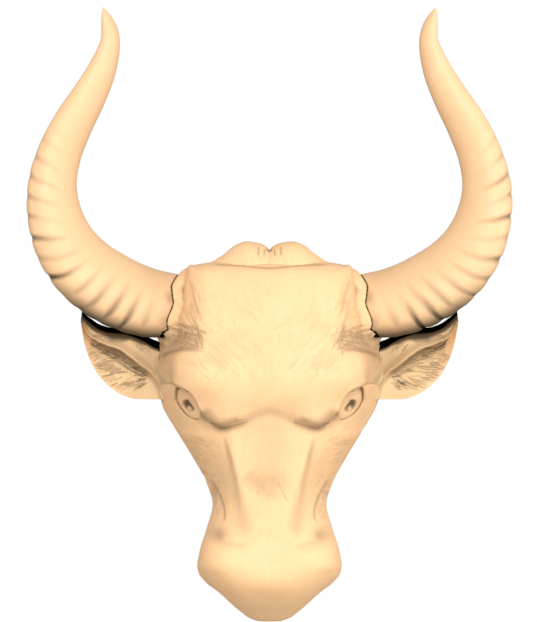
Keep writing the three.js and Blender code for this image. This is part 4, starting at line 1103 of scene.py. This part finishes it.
def tuft():
    """Rings that stand side by side across the head, with the parting and the cuts between the hairs."""
    x = np.linspace(-TUFT_HALF, TUFT_HALF, TUFT_STEPS)[:, None]
    tall = along(TUFT_TOP, np.abs(x)) - TUFT_Z
    swell = LOCK_SWELL * np.exp(-(((np.abs(x) - LOCK_AT) / LOCK_HALF) ** 2))
    deep = TUFT_DEEP * np.sqrt(1 - 0.6 * (x / TUFT_HALF) ** 2) + swell
    a = np.linspace(0, 2 * math.pi, TUFT_SIDES, endpoint=False)[None, :]
    bent_c = np.sign(np.cos(a)) * np.abs(np.cos(a)) ** TUFT_ROUND
    bent_s = np.sign(np.sin(a)) * np.abs(np.sin(a)) ** TUFT_ROUND
    y, z = TUFT_Y + deep * bent_c, TUFT_Z + tall * bent_s
    rings = np.stack([np.broadcast_to(x, y.shape), y, z], axis=2)
    strokes = []
    for side in (1, -1):
        for at, top, foot in TUFT_CUTS:
            strokes.append((np.array([(side * at, top), (side * (at + 1), foot)]), *TUFT_CUT))
    strokes += [PARTING] + hair(*TUFT_HAIR)
    depth, wax_and_shade = cut(rings[..., 0], rings[..., 2], strokes)
    rings = rings - facing(rings) * depth[..., None]
    wax_and_shade = np.maximum(wax_and_shade, HOLLOW_SHADE * hollowness(rings, times=4, depth=1.0))
    return skin("poll_tuft", rings, wax_and_shade, carved_wood)


crest = tuft()

# %% [markdown]
# ## Tie the pieces to the frame
# Each piece says which solid it stands for and rides on the one body; the solids it stands for are hidden.

# %% Pieces and the solids they stand for
STANDS_FOR = {
    face: ("head", "muzzle", "lower_jaw"),
    crest: ("poll_tuft",),
    horns[0]: ("horn_right",),
    horns[1]: ("horn_left",),
    ears[0]: ("ear_right",),
    ears[1]: ("ear_left",),
    eyes[0]: ("eye_right",),
    eyes[1]: ("eye_left",),
}
for piece, nodes in STANDS_FOR.items():
    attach(piece, "root")
    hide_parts(*nodes)
print("pieces:", [piece.name for piece in STANDS_FOR])

# %% [markdown]
# ## Light, floor and camera
# The head is lit as for a catalogue: one large soft light from the front and a little above, a fill from
# the viewer's right, a weaker one from the left, and an even pale room that is darker below. The world is
# white to the camera. The camera looks straight at the face from far away with a long lens, so that the
# horns and the nose keep their true sizes.

# %% Floor
FLOOR_RADIUS, FLOOR_LEVEL = 1.6, -0.9  # metres
bpy.ops.mesh.primitive_circle_add(
    vertices=96, radius=FLOOR_RADIUS, fill_type="NGON", location=(0, 0, FLOOR_LEVEL)
)
floor = bpy.context.object
floor.name = "floor"
floor_paint = bpy.data.materials.new("grey_floor_paint")
floor_paint.use_nodes = True
paint = floor_paint.node_tree.nodes["Principled BSDF"].inputs
paint["Base Color"].default_value = linear("#cbc7c0")
paint["Roughness"].default_value = 0.8
floor.data.materials.append(floor_paint)
print("floor at", FLOOR_LEVEL, "m")


# %% Lights
def soft_light(name, place, aim, size, watts):
    """A square area light at a place in metres, turned to an aim."""
    lamp = bpy.data.lights.new(name, "AREA")
    lamp.shape = "SQUARE"
    lamp.size = size
    lamp.energy = watts
    light = bpy.data.objects.new(name, lamp)
    light.location = place
    light.rotation_euler = (Vector(aim) - Vector(place)).to_track_quat("-Z", "Y").to_euler()
    light.visible_camera = False
    bpy.context.scene.collection.objects.link(light)
    return light


lights = [
    soft_light("front_softbox", (0.3, -3.6, 1.1), (0, -0.15, 0.1), 2.2, 127),
    soft_light("right_fill", (3.0, -1.6, 0.1), (0.1, -0.1, 0), 1.5, 56),
    soft_light("left_fill", (-3.0, -1.6, 0.1), (-0.1, -0.1, 0), 1.5, 31),
]
print("lights:", [light.name for light in lights])

# %% A pale room
ROOM_DARK, ROOM_LIGHT = 0.05, 0.66  # strength of the room's light from below and from above
world = bpy.data.worlds.new("pale_room")
bpy.context.scene.world = world
world.use_nodes = True
sky = world.node_tree
direction = add_node(sky, "ShaderNodeTexCoord", give="Generated")
upward = add_node(sky, "ShaderNodeSeparateXYZ", {0: direction}, give=2)
rising = {"Value": upward, "From Min": -0.6, "From Max": 0.5, "To Min": ROOM_DARK, "To Max": ROOM_LIGHT}
room = add_node(sky, "ShaderNodeMapRange", rising)
seen = add_node(sky, "ShaderNodeLightPath", give="Is Camera Ray")
bright = add_node(sky, "ShaderNodeMix", {0: seen, 2: room, 3: 1.0}, data_type="FLOAT")
sky.links.new(bright, sky.nodes["Background"].inputs["Strength"])
sky.nodes["Background"].inputs["Color"].default_value = (1, 1, 1, 1)
bpy.context.scene.view_settings.view_transform = "Standard"
print("room:", world.name)

# %% Camera
PIXEL = 1.3 * MM  # the photo shows this much of the face in one pixel
PHOTO_HEIGHT = 622
PHOTO_CENTRE = (-1.3 * MM, 122.2 * MM)  # what the middle of the photo shows, across and up
SENSOR = 36  # mm
SHARP_PLANE, CAMERA_AWAY = -0.12, 9.0  # depth of the horns, and the camera's distance from there, in metres
camera_data = bpy.data.cameras.new("camera")
camera_data.sensor_fit = "VERTICAL"
camera_data.sensor_height = SENSOR
camera_data.lens = SENSOR * CAMERA_AWAY / (PHOTO_HEIGHT * PIXEL)
camera = bpy.data.objects.new("camera", camera_data)
camera.location = (PHOTO_CENTRE[0], SHARP_PLANE - CAMERA_AWAY, PHOTO_CENTRE[1])
camera.rotation_euler = (math.pi / 2, 0, 0)
bpy.context.scene.collection.objects.link(camera)
bpy.context.scene.camera = camera
print("lens:", round(camera_data.lens), "mm")
